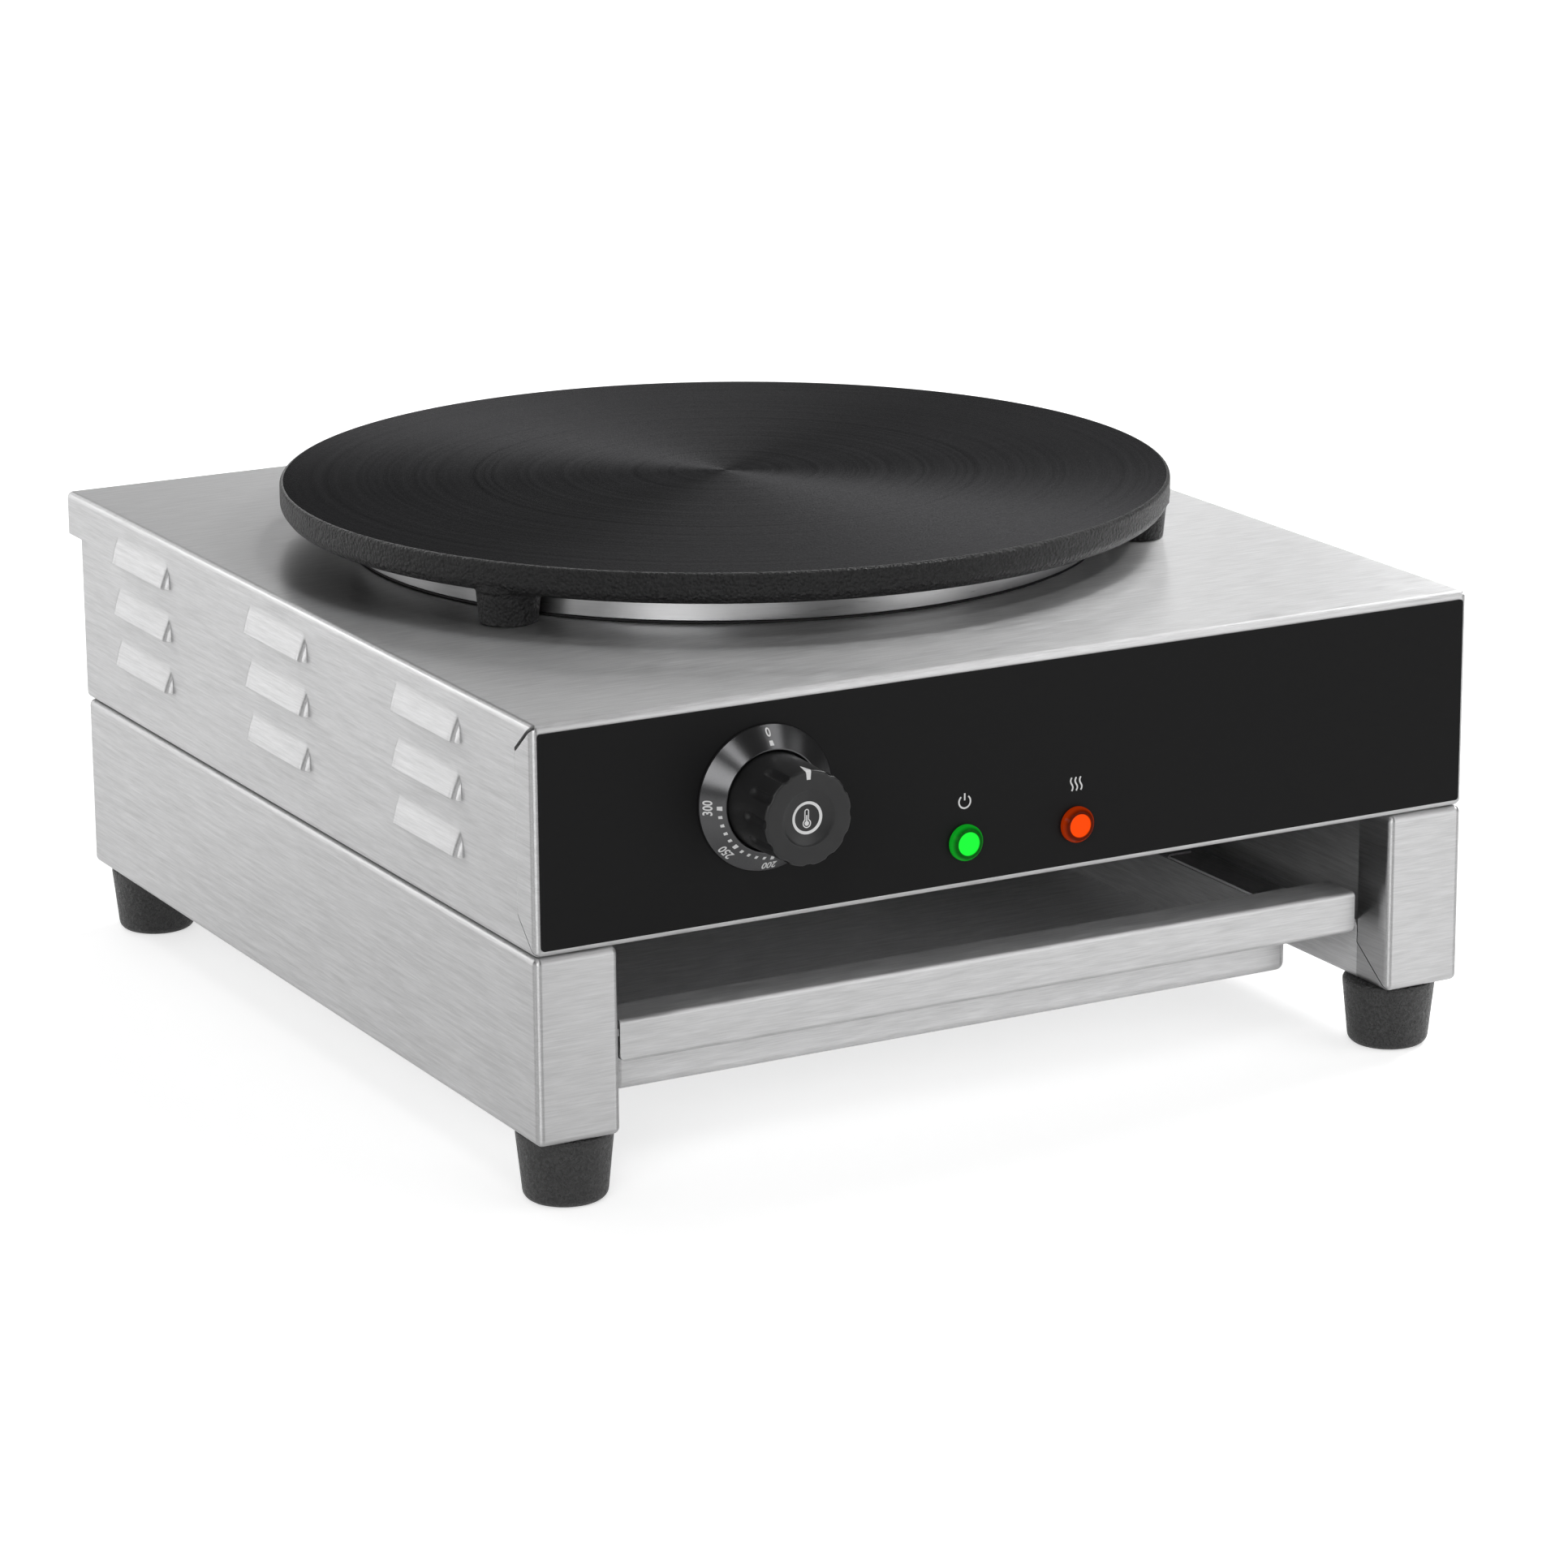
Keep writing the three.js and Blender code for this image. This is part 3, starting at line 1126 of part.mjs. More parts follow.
const tailEnd = (radius, which) => [
  ...roundPlate(radius, elementEnds(radius)[which]), ELEMENT_HEIGHT - ELEMENT_TAIL - WIRE_END,
];
const terminalWay = (index) => [
  GLAND_X + (index - 1) * (TERMINAL_LENGTH / 3),
  TERMINAL_Y - TERMINAL_DEPTH / 2 - WIRE_END,
  FLOOR_TOP + FIT + TERMINAL_WAY,
];
const thermostatTab = (side, level) => [
  KNOB_X + side * TAB_X,
  FRONT + THERMOSTAT_BACK_OFF + THERMOSTAT_DEPTH + TAB_LENGTH + WIRE_END,
  KNOB_HEIGHT + level * TAB_Z,
];

function wire(points) {
  return bar(smooth(points, 24), WIRE_RADIUS, 5);
}

function liveWire() {
  const [x0, y0, z0] = terminalWay(0);
  const [x1, y1, z1] = thermostatTab(1, -1);
  return wire([
    [x0, y0, z0], [x0, y0 - 2 * WIRE_BEND, z0], [x0 - 3 * WIRE_BEND, y0 - 5 * WIRE_BEND, z0],
    [x0 + (x1 - x0) * 0.25, y0 + (y1 - y0) * 0.35, z0], [x0 + (x1 - x0) * 0.65, y0 + (y1 - y0) * 0.65, z0],
    [x1 + 2 * WIRE_BEND, y1 + 6 * WIRE_BEND, z0], [x1, y1 + 3 * WIRE_BEND, z1 - WIRE_BEND],
    [x1, y1 + WIRE_BEND, z1], [x1, y1, z1],
  ]);
}

function elementWire() {
  const [x0, y0, z0] = thermostatTab(-1, 1);
  const [x1, y1, z1] = tailEnd(OUTER_RING, 1);
  return wire([
    [x0, y0, z0], [x0, y0 + WIRE_BEND, z0], [x0 - 2 * WIRE_BEND, y0 + 5 * WIRE_BEND, z0 - WIRE_BEND],
    [x0 - 2 * WIRE_BEND, y0 + (y1 - y0) * 0.5, z1 - WIRE_DROP],
    [x0 + 2 * WIRE_BEND, y0 + (y1 - y0) * 0.8, z1 - WIRE_DROP],
    [x1 - WIRE_BEND, y1, z1 - WIRE_DROP], [x1, y1, z1 - WIRE_BEND], [x1, y1, z1],
  ]);
}

function neutralWire() {
  const [x0, y0, z0] = terminalWay(1);
  const [x1, y1, z1] = tailEnd(OUTER_RING, 0);
  return wire([
    [x0, y0, z0], [x0, y0 - WIRE_BEND, z0], [x0 - 2 * WIRE_BEND, y0 - 3 * WIRE_BEND, z0 + 2 * WIRE_BEND],
    [(x0 + x1) / 2, (y0 + y1) / 2, z1 - WIRE_DROP - WIRE_BEND],
    [x1 + WIRE_BEND, y1, z1 - WIRE_DROP], [x1, y1, z1 - WIRE_BEND], [x1, y1, z1],
  ]);
}

function lampWire() {
  const z = LAMP_HEIGHT;
  const y = FRONT + LAMP_BODY_LENGTH - DIAL_SEAT + FIT + LAMP_PIN_LENGTH + FIT;
  const pin = LAMP_X - LAMP_PIN_X;
  return wire([
    [-pin, y, z], [-pin, y + WIRE_BEND, z], [-pin / 2, y + 2 * WIRE_BEND, z - WIRE_BEND / 2],
    [pin / 2, y + 2 * WIRE_BEND, z - WIRE_BEND / 2], [pin, y + WIRE_BEND, z], [pin, y, z],
  ]);
}

// ---------------------------------------------------------------- assembly

function addPart(group, name, solid, material) {
  const mesh = solid.getMesh();
  const geometry = new THREE.BufferGeometry();
  geometry.setAttribute("position", new THREE.BufferAttribute(mesh.vertProperties, 3));
  geometry.setIndex(new THREE.BufferAttribute(mesh.triVerts, 1));
  const part = new THREE.Mesh(geometry, material);
  part.name = name;
  group.add(part);
  return part;
}

function subgroup(parent, name) {
  const group = new THREE.Group();
  group.name = name;
  parent.add(group);
  return group;
}

const mirrored = (solid) => solid.mirror([1, 0, 0]);

const group = new THREE.Group();
group.name = "electric_griddle";
const caseFrame = subgroup(group, "case_frame");
caseFrame.position.y = (KNOB_REACH - REAR_OVERHANG) / 2;

const base = subgroup(caseFrame, "base");
const rail = baseRail();
addPart(base, "base_rail_right", rail, STEEL);
addPart(base, "base_rail_left", mirrored(rail), STEEL);
addPart(base, "base_rear_panel", baseRearPanel(), STEEL);
for (const [side, sideName] of [[-1, "left"], [1, "right"]]) {
  footPlaces(side).forEach(([x, y], end) => {
    const place = `${end ? "rear" : "front"}_${sideName}`;
    addPart(base, `foot_${place}`, foot(), RUBBER).position.set(x, y, 0);
    addPart(base, `foot_screw_${place}`, footScrew(), ZINC).position.set(x, y, 0);
  });
}

const housing = subgroup(caseFrame, "housing");
addPart(housing, "housing_shell", housingShell(), STEEL);
addPart(housing, "control_overlay", controlOverlay(), OVERLAY);
addPart(housing, "housing_floor", housingFloor(), STEEL_DULL);
addPart(housing, "back_panel", backPanel(), STEEL);
BACK_SCREWS.forEach(([x, z], i) => {
  addPart(housing, `back_screw_${i + 1}`, backScrew(), ZINC).position.set(x, 0, z);
});

const heater = subgroup(caseFrame, "heater");
addPart(heater, "griddle_plate", griddlePlate(), CAST_IRON);
addPart(heater, "skirt_ring", skirtRing(), STEEL);
addPart(heater, "skirt_seal", skirtSeal(), RUBBER);
addPart(heater, "heating_element_outer", heatingElement(OUTER_RING), STEEL_DULL);
addPart(heater, "heating_element_inner", heatingElement(INNER_RING), STEEL_DULL);
addPart(heater, "element_clamp_plate", clampPlate(), STEEL_DULL);
addPart(heater, "insulation_disc", insulationDisc(), WOOL);
addPart(heater, "heat_shield", heatShield(), STEEL_DULL);
addPart(heater, "clamp_stud", clampStud(), ZINC);
addPart(heater, "clamp_nut", clampNut(), ZINC);
addPart(heater, "safety_cutout", safetyCutout(), WHITE_CERAMIC);
LEG_ANGLES.forEach((angle, i) => {
  const [x, y] = roundPlate(LEG_CIRCLE, angle);
  addPart(heater, `leg_bolt_${i + 1}`, legBolt(), ZINC).position.set(x, y, 0);
});

const controls = subgroup(caseFrame, "controls");
addPart(controls, "dial_ring", dialRing(), DIAL_SATIN);
addPart(controls, "knob", knob(), KNOB_PLASTIC);
addPart(controls, "thermostat_shaft", thermostatShaft(), ZINC);
addPart(controls, "thermostat_bracket", thermostatBracket(), ZINC);
addPart(controls, "thermostat_body", thermostatBody(), BLACK_PLASTIC);
addPart(controls, "thermostat_capillary", capillary(), COPPER);
for (const [x, colour, lens] of [[-LAMP_X, "green", GREEN_LENS], [LAMP_X, "red", RED_LENS]]) {
  addPart(controls, `lamp_lens_${colour}`, lampLens(x), lens);
  addPart(controls, `lamp_body_${colour}`, lampBody(x), BLACK_PLASTIC);
  addPart(controls, `lamp_nut_${colour}`, lampNut(x), BLACK_PLASTIC);
}

const supply = subgroup(caseFrame, "supply");
addPart(supply, "cable_gland", cableGland(), BLACK_PLASTIC);
addPart(supply, "gland_locknut", glandLocknut(), BLACK_PLASTIC);
addPart(supply, "earth_stud", earthStud(), BRASS);
addPart(supply, "earth_nut", earthNut(BACK_PANEL_OUT + FIT), BRASS);
addPart(supply, "terminal_block", terminalBlock(), WHITE_CERAMIC);
addPart(supply, "wire_live", liveWire(), WIRE_BROWN);
addPart(supply, "wire_element", elementWire(), WIRE_BLACK);
addPart(supply, "wire_neutral", neutralWire(), WIRE_BLUE);
addPart(supply, "wire_lamps", lampWire(), WIRE_EARTH);

const tray = subgroup(caseFrame, "tray");
addPart(tray, "tray_front", trayFront(), STEEL);
addPart(tray, "tray_pan", trayPan(), STEEL);
const glide = trayGlide();
addPart(tray, "tray_glide_right", glide, STEEL_DULL);
addPart(tray, "tray_glide_left", mirrored(glide), STEEL_DULL);

export default group;
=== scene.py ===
"""Counter-top electric griddle with one round cast iron plate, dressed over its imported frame."""

import math

import bmesh
import bpy
from mathutils import Matrix, Vector
from mathutils.geometry import tessellate_polygon


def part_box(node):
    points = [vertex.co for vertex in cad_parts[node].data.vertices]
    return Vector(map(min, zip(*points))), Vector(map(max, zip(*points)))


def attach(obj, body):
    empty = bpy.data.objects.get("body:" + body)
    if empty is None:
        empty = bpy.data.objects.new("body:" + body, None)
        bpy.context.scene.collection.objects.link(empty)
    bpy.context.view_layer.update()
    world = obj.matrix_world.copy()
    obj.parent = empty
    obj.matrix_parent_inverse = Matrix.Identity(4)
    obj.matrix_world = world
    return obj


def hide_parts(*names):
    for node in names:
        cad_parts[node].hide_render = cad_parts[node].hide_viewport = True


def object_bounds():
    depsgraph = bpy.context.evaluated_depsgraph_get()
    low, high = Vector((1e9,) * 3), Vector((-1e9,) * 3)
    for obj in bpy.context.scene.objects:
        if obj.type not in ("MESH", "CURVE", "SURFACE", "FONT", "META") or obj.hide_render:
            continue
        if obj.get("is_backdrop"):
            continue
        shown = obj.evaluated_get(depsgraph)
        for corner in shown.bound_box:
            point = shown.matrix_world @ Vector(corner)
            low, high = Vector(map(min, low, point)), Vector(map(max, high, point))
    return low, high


bl_info = {
    "name": "Electric Griddle",
    "version": (1, 0, 0),
    "blender": (4, 5, 0),
    "location": "3D View > Sidebar > Griddle",
    "description": "Builds a round-plate electric griddle piece by piece on its packed frame",
    "category": "Object",
}

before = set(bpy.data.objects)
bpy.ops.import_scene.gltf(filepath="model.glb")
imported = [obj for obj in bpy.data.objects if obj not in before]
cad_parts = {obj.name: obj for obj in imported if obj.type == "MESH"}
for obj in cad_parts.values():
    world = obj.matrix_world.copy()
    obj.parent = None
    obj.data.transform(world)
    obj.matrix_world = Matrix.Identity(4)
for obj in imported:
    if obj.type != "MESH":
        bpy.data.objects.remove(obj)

WELD = 1e-6  # corners closer than this are one corner
FINE_WELD = 1e-8  # the same for thin printing
CLEAR = 0.001  # how far a cutting tool reaches past what it cuts
RIGHT_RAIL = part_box("base_rail_right")
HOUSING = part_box("housing_shell")
HALF_WIDTH = RIGHT_RAIL[1][0]
FRONT = RIGHT_RAIL[0][1]
BACK = RIGHT_RAIL[1][1]
REAR_EDGE = HOUSING[1][1]
HOUSING_LOW = HOUSING[0][2]
COVER_TOP = HOUSING[1][2]
RAIL_INNER = HALF_WIDTH - 0.0375  # inner face of the right-hand rail
RAIL_SLIT = 0.0006  # width of the open joints in a rail
PLATE_LOW_BOX, PLATE_HIGH_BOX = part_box("griddle_plate")
PLATE_RADIUS = (PLATE_HIGH_BOX[0] - PLATE_LOW_BOX[0]) / 2
PLATE_Y = (PLATE_HIGH_BOX[1] + PLATE_LOW_BOX[1]) / 2
PLATE_TOP = PLATE_HIGH_BOX[2]
DIAL_LOW, DIAL_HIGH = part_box("dial_ring")
KNOB_X = (DIAL_LOW[0] + DIAL_HIGH[0]) / 2
KNOB_Z = (DIAL_LOW[2] + DIAL_HIGH[2]) / 2
DIAL_SEAT = DIAL_HIGH[1]
KNOB_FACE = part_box("knob")[0][1]
# radius and height above the seat of the dial's cone, at its foot and at its top
DIAL_OUTER, DIAL_RIM, DIAL_INNER, DIAL_TOP = 0.0306, 0.0011, 0.0219, 0.0078
# radius of the knob at its back and at its face, and the round of its edge
KNOB_WIDE, KNOB_NARROW, KNOB_EDGE = 0.0204, 0.0198, 0.0011
DISH_STEP = 0.00018  # step from the knob's face down to the rim of its hollow

INNER_PAINTED_LIGHT = (1.35, 0.45)  # shade and metal share of the inner sheets: a less metallic copy of the steel, 1.35 times lighter as painted light in the shaded bay

LAMPS = (  # name, place, width, height and brightness
    ("Back left softbox", (-1.3, 1.75, 0.62), 1.6, 1.24, 1.16),
    ("Back softbox", (0.85, 2.0, 0.75), 1.2, 1.3, 1.37),
    ("Right softbox", (1.23, 0.56, 1.36), 0.85, 0.85, 1.29),
    ("Key lamp", (0.95, -0.02, 0.80), 0.3, 0.3, 13.0),
    ("Far key lamp", (2.84, 0.91, 2.81), 1.0, 1.0, 7.5),
    ("Front high lamp", (-0.80, -1.70, 1.90), 0.5, 0.5, 8.0),
    ("Fold lamp", (0.95, -1.05, 1.60), 0.7, 0.16, 8.5),
    ("Strip lamp", (0.88, 0.2, 1.9), 0.12, 0.9, 9.4),
    ("Left low softbox", (-2.1, -0.1, 0.45), 1.4, 0.8, 0.85),
    ("Front left fill", (-1.7, -1.8, 1.0), 1.2, 1.0, 4.7),
    ("Front right fill", (1.1, -2.0, 0.55), 1.2, 1.0, 2.05),
    ("Back strip", (-0.35, 1.9, 1.2), 1.0, 0.35, 5.6),
)
LAMP_TARGET = (0, 0, 0.15)
CAMERA_PLACE = (-1.14593, -2.12246, 0.77242)
CAMERA_YAW, CAMERA_PITCH, CAMERA_ROLL = math.radians(28.63), math.radians(15.67), -0.007232
CAMERA_LENS = 127.13


# ---------------------------------------------------------------- sizes and colours


def length(name, description, default):
    """A length that can be changed in the sidebar."""
    return bpy.props.FloatProperty(
        name=name, description=description, default=default, unit="LENGTH", precision=4, min=0.0
    )


def colour(name, description, default):
    """A colour that can be changed in the sidebar."""
    return bpy.props.FloatVectorProperty(
        name=name, description=description, default=default, subtype="COLOR", size=3, min=0.0, max=1.0
    )


class GriddleSizes(bpy.types.PropertyGroup):
    """Sizes of the sheet metal, the louvres, the plate and the controls."""

    sheet: length("Sheet", "Thickness of the housing and base sheet", 0.0012)
    bend: length("Bend", "Outside radius of a fold", 0.003)
    flange: length("Flange", "Width of the inward flanges", 0.012)
    rear_lip: length("Rear lip", "Height of the cover's rear lip", 0.020)
    corner_return: length("Corner return", "Front panel's return round the side", 0.015)
    mitre_gap: length("Mitre gap", "Width of the open mitre at the cover's front corners", 0.0016)
    groove: length("Seam groove", "Depth of the closed seams in the side walls", 0.00045)
    louvre_length: length("Louvre length", "Length of a louvre along the wall", 0.062)
    louvre_height: length("Louvre height", "Height of a louvre", 0.014)
    louvre_reach: length("Louvre reach", "How far a louvre stands out", 0.0035)
    louvre_corner: length("Louvre corner", "Round of a louvre's upper corners", 0.0068)
    louvre_bead: length("Louvre bead", "Length of the pressed bead at a louvre's ends", 0.0044)
    louvre_pitch_along: length("Louvre pitch along", "Louvre column spacing", 0.152)
    louvre_pitch_down: length("Louvre pitch down", "Louvre row spacing", 0.0242)
    louvre_top: length("Louvre top", "Top row below the cover", 0.008)
    louvre_shift: length("Louvre shift", "Middle column behind the middle of the case", 0.011)
    plate_edge: length("Plate edge", "Round of the plate's upper edge", 0.0016)
    leg_top: length("Leg top radius", "Radius of a plate leg at the plate", 0.0142)
    leg_foot: length("Leg foot radius", "Radius of a plate leg at the cover", 0.0126)
    leg_circle: length("Leg circle", "Radius of the circle of the plate's legs", 0.1845)
    heater_opening: length("Heater opening", "Radius of the cover's hole", 0.152)
    bush_hole: length("Bush hole", "Radius of the hole for the thermostat's bush", 0.0056)
    lamp_hole: length("Lamp hole", "Radius of a lamp's hole", 0.0063)
    post_return: length("Post return", "Depth of a post's inner return", 0.0235)
    rail_lip: length("Rail lip", "Height of a rail's inner lip", 0.0275)
    flute_width: length("Flute width", "Width of a knob flute", 0.0044)
    flute_depth: length("Flute depth", "Depth of a knob flute", 0.0014)
    flute_length: length("Flute length", "Length of a knob flute", 0.016)
    dish_radius: length("Dish radius", "Radius of the hollow in the knob's face", 0.0116)
    dish_depth: length("Dish depth", "Depth of the hollow in the knob's face", 0.0018)
    print_lift: length("Print lift", "How far printing stands off its surface", 0.00006)


class GriddleColours(bpy.types.PropertyGroup):
    """Colours of the finishes."""

    steel: colour("Steel", "Brushed stainless sheet", (0.60, 0.60, 0.603))
    iron: colour("Iron", "Seasoned cast iron", (0.021, 0.021, 0.0215))
    film: colour("Film", "Black control panel film", (0.0085, 0.0085, 0.0088))
    knob: colour("Knob", "Black moulded knob", (0.020, 0.020, 0.0205))
    dial: colour("Dial", "Satin dark grey dial ring", (0.085, 0.085, 0.087))
    print_white: colour("Print", "White printing", (0.78, 0.78, 0.78))
    rubber: colour("Rubber", "Black rubber feet", (0.018, 0.018, 0.018))
    green: colour("Green lamp", "Green pilot lamp", (0.012, 0.96, 0.045))
    red: colour("Red lamp", "Red pilot lamp", (0.96, 0.068, 0.001))
    zinc: colour("Zinc", "Plated fixings", (0.55, 0.56, 0.58))
    brass: colour("Brass", "Brass fixings", (0.62, 0.44, 0.16))
    copper: colour("Copper", "Copper capillary", (0.66, 0.30, 0.15))
    ceramic: colour("Ceramic", "White ceramic", (0.75, 0.72, 0.66))
    wool: colour("Wool", "Mineral wool disc", (0.60, 0.56, 0.45))
    floor: colour("Floor", "Pale floor", (0.80, 0.80, 0.80))


def sizes():
    """The scene's sizes."""
    return bpy.context.scene.griddle_sizes


def colours():
    """The scene's colours."""
    return bpy.context.scene.griddle_colours


# ---------------------------------------------------------------- meshes


def linked(name, data):
    """A new object in the scene that holds this data."""
    obj = bpy.data.objects.new(name, data)
    bpy.context.scene.collection.objects.link(obj)
    return obj


def worked(mesh, *steps):
    """The same mesh after each step has changed its corners and faces."""
    work = bmesh.new()
    work.from_mesh(mesh)
    for step in steps:
        step(work)
    work.to_mesh(mesh)
    work.free()
    return mesh


def mesh_of(points, faces, marks=None, weld=WELD):
    """A mesh of these corners and faces, with corners that fall together joined."""
    mesh = bpy.data.meshes.new("piece")
    mesh.from_pydata([tuple(p) for p in points], [], faces)
    if marks:
        mesh.polygons.foreach_set("material_index", marks)
    return worked(
        mesh,
        lambda work: bmesh.ops.remove_doubles(work, verts=work.verts, dist=weld),
        lambda work: bmesh.ops.dissolve_degenerate(work, edges=work.edges, dist=weld),
    )


def faced_out(mesh):
    """The same mesh with all its faces turned outwards."""
    return worked(mesh, lambda work: bmesh.ops.recalc_face_normals(work, faces=work.faces))


def joined(meshes):
    """Several meshes as one."""
    work = bmesh.new()
    for mesh in meshes:
        work.from_mesh(mesh)
        bpy.data.meshes.remove(mesh)
    whole = bpy.data.meshes.new("piece")
    work.to_mesh(whole)
    work.free()
    return whole


def mirrored(mesh):
    """A copy of a mesh, mirrored left to right."""
    work = bmesh.new()
    work.from_mesh(mesh)
    bmesh.ops.transform(work, matrix=Matrix.Scale(-1, 4, (1, 0, 0)), verts=work.verts)
    bmesh.ops.reverse_faces(work, faces=work.faces)
    copy = bpy.data.meshes.new("piece")
    work.to_mesh(copy)
    work.free()
    return copy


def baked(mesh, kind, **settings):
    """The mesh after a modifier of this kind, with its settings."""
    while len(mesh.materials) < 2:
        mesh.materials.append(None)
    obj = linked("workpiece", mesh)
    modifier = obj.modifiers.new("Work", kind)
    for key, value in settings.items():
        setattr(modifier, key, value)
    graph = bpy.context.evaluated_depsgraph_get()
    graph.update()
    result = bpy.data.meshes.new_from_object(obj.evaluated_get(graph))
    bpy.data.objects.remove(obj)
    return result


def thickened(mesh, thickness):
    """A skin given its sheet thickness, inwards."""
    return baked(mesh, "SOLIDIFY", thickness=thickness, offset=-1, use_even_offset=True)


def bevelled(mesh, width, segments=2, degrees=40):
    """The mesh with its sharp edges broken."""
    limit = math.radians(degrees)
    return baked(mesh, "BEVEL", width=width, segments=segments, limit_method="ANGLE", angle_limit=limit)


def combined(mesh, tools, operation):
    """The mesh after a solid operation with all the tools."""
    tool = joined(tools)
    other = linked("tool", tool)
    result = baked(mesh, "BOOLEAN", operation=operation, solver="EXACT", object=other)
    bpy.data.objects.remove(other)
    bpy.data.meshes.remove(tool)
    return result


def cut(mesh, *tools):
    """The mesh without what the tools take up."""
    return combined(mesh, tools, "DIFFERENCE")


def united(mesh, *others):
    """Overlapping solids as one."""
    return combined(mesh, others, "UNION")


def placed(name, mesh, body, slot, finishes, nodes=(), smooth=35):
    """Puts a finished mesh on its body, with its finishes and the CAD nodes that it stands for."""
    mesh.name = name
    while len(mesh.materials) < len(finishes):
        mesh.materials.append(None)
    while len(mesh.materials) > len(finishes):
        mesh.materials.pop(index=len(mesh.materials) - 1)
    for i, finish in enumerate(finishes):
        mesh.materials[i] = finish
    mesh.shade_smooth()
    mesh.set_sharp_from_angle(angle=math.radians(smooth))
    obj = linked(name, mesh)
    obj.modifiers.new("Even shading", "WEIGHTED_NORMAL").keep_sharp = True
    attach(obj, body)
    if nodes:
        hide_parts(*nodes)
    return obj


# ---------------------------------------------------------------- outlines


def middle_of(name):
    """The middle of a CAD node's box."""
    return [(a + b) / 2 for a, b in zip(*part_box(name))]


def quarter(steps, first=0):
    """The sine and cosine of each step of a quarter turn."""
    turns = [math.pi / 2 * k / steps for k in range(first, steps + 1)]
    return [(math.sin(t), math.cos(t)) for t in turns]


def filleted(points, steps=5, closed=True):
    """An outline through [a, b, radius] corners, each rounded by its own radius."""
    made = []
    count = len(points)
    for i, (a, b, radius) in enumerate(points):
        corner = Vector((a, b))
        if not radius or (not closed and i in (0, count - 1)):
            made.append(corner)
            continue
        before = (Vector(points[i - 1][:2]) - corner).normalized()
        after = (Vector(points[(i + 1) % count][:2]) - corner).normalized()
        half = math.acos(max(-1.0, min(1.0, before.dot(after)))) / 2
        if half > 1.56:
            made.append(corner)
            continue
        middle = (before + after).normalized()
        centre = corner + middle * (radius / math.sin(half))
        start = corner + before * (radius / math.tan(half)) - centre
        end = corner + after * (radius / math.tan(half)) - centre
        turn = start.angle_signed(end)
        for k in range(steps + 1):
            share = turn * k / steps
            cos, sin = math.cos(-share), math.sin(-share)
            made.append(centre + Vector((start.x * cos - start.y * sin, start.x * sin + start.y * cos)))
    return made


def looped(corners, steps):
    """A turned profile that comes back to its start."""
    profile = filleted(corners, steps)
    return profile + profile[:1]


def rectangle(low, high, radius=0.0, steps=1):
    """A rectangle between two corners, with its own corners rounded."""
    (a0, b0), (a1, b1) = low, high
    return filleted([(a0, b0, radius), (a1, b0, radius), (a1, b1, radius), (a0, b1, radius)], steps)


def circle(radius, segments, a=0.0, b=0.0):
    """The corners of a circle."""
    turns = [2 * math.pi * i / segments for i in range(segments)]
    return [Vector((a + radius * math.cos(t), b + radius * math.sin(t))) for t in turns]


def folded(path, thickness, bend, steps=5):
    """The closed section of a folded sheet that lies on the right-hand side of its path."""
    corners = [Vector(p) for p in path]
    along = [(b - a).normalized() for a, b in zip(corners, corners[1:])]
    aside = [Vector((d.y, -d.x)) for d in along]
    near, far = [], []
    for i, point in enumerate(corners):
        first = aside[max(i - 1, 0)]
        second = aside[min(i, len(aside) - 1)]
        offset = (first + second) * (thickness / (1 + first.dot(second)))
        turn = 0.0
        if 0 < i < len(aside):
            turn = along[i - 1].x * along[i].y - along[i - 1].y * along[i].x
        outer = bend if turn else 0
        inner = max(bend - thickness, 0.0002) if turn else 0
        near.append((point.x, point.y, outer if turn < 0 else inner))
        far.append((point.x + offset.x, point.y + offset.y, inner if turn < 0 else outer))
    return filleted(near + far[::-1], steps)


def both_sides(path, width):
    """The two points beside each point of an open path, half a width away from it."""
    made = []
    for i, point in enumerate(path):
        before, after = Vector(path[max(i - 1, 0)]), Vector(path[min(i + 1, len(path) - 1)])
        along = (after - before).normalized()
        aside = Vector((-along.y, along.x)) * width / 2
        made.append((Vector(point) + aside, Vector(point) - aside))
    return made


# ---------------------------------------------------------------- solids and skins


def prism(outline, axis, start, end):
    """A closed outline drawn across an axis and run along it from start to end."""
    place = {
        "X": lambda p, t: (t, p[0], p[1]),
        "Y": lambda p, t: (p[0], t, p[1]),
        "Z": lambda p, t: (p[0], p[1], t),
    }[axis]
    count = len(outline)
    points = [place(p, start) for p in outline] + [place(p, end) for p in outline]
    faces = [[i, (i + 1) % count, count + (i + 1) % count, count + i] for i in range(count)]
    faces += [list(range(count))[::-1], list(range(count, 2 * count))]
    return faced_out(mesh_of(points, faces))


def turned(profile, centre, axis="Z", segments=96, shape=None, marks=None):
    """A turned piece: a profile of [radius, height] round an axis, which is Z, or FRONT towards -Y.
    shape(radius, height, turn) may change the radius at each point of the round."""
    around = {
        "Z": lambda r, h, t: (centre[0] + r * math.cos(t), centre[1] + r * math.sin(t), centre[2] + h),
        "FRONT": lambda r, h, t: (centre[0] + r * math.sin(t), centre[1] - h, centre[2] + r * math.cos(t)),
    }[axis]
    points, faces, face_marks = [], [], []
    for radius, height in profile:
        for i in range(segments):
            turn = 2 * math.pi * i / segments
            real = shape(radius, height, turn) if shape else radius
            points.append(around(real, height, turn))
    for row in range(len(profile) - 1):
        for i in range(segments):
            a, b = row * segments + i, row * segments + (i + 1) % segments
            faces.append([a, b, b + segments, a + segments])
            face_marks.append(marks[row] if marks else 0)
    return faced_out(mesh_of(points, faces, face_marks))


def slit(path, width, x0, x1):
    """A thin tool that follows a path drawn in (y, z), from x0 to x1."""
    sides = both_sides(path, width)
    return prism([a for a, _ in sides] + [b for _, b in reversed(sides)], "X", x0, x1)


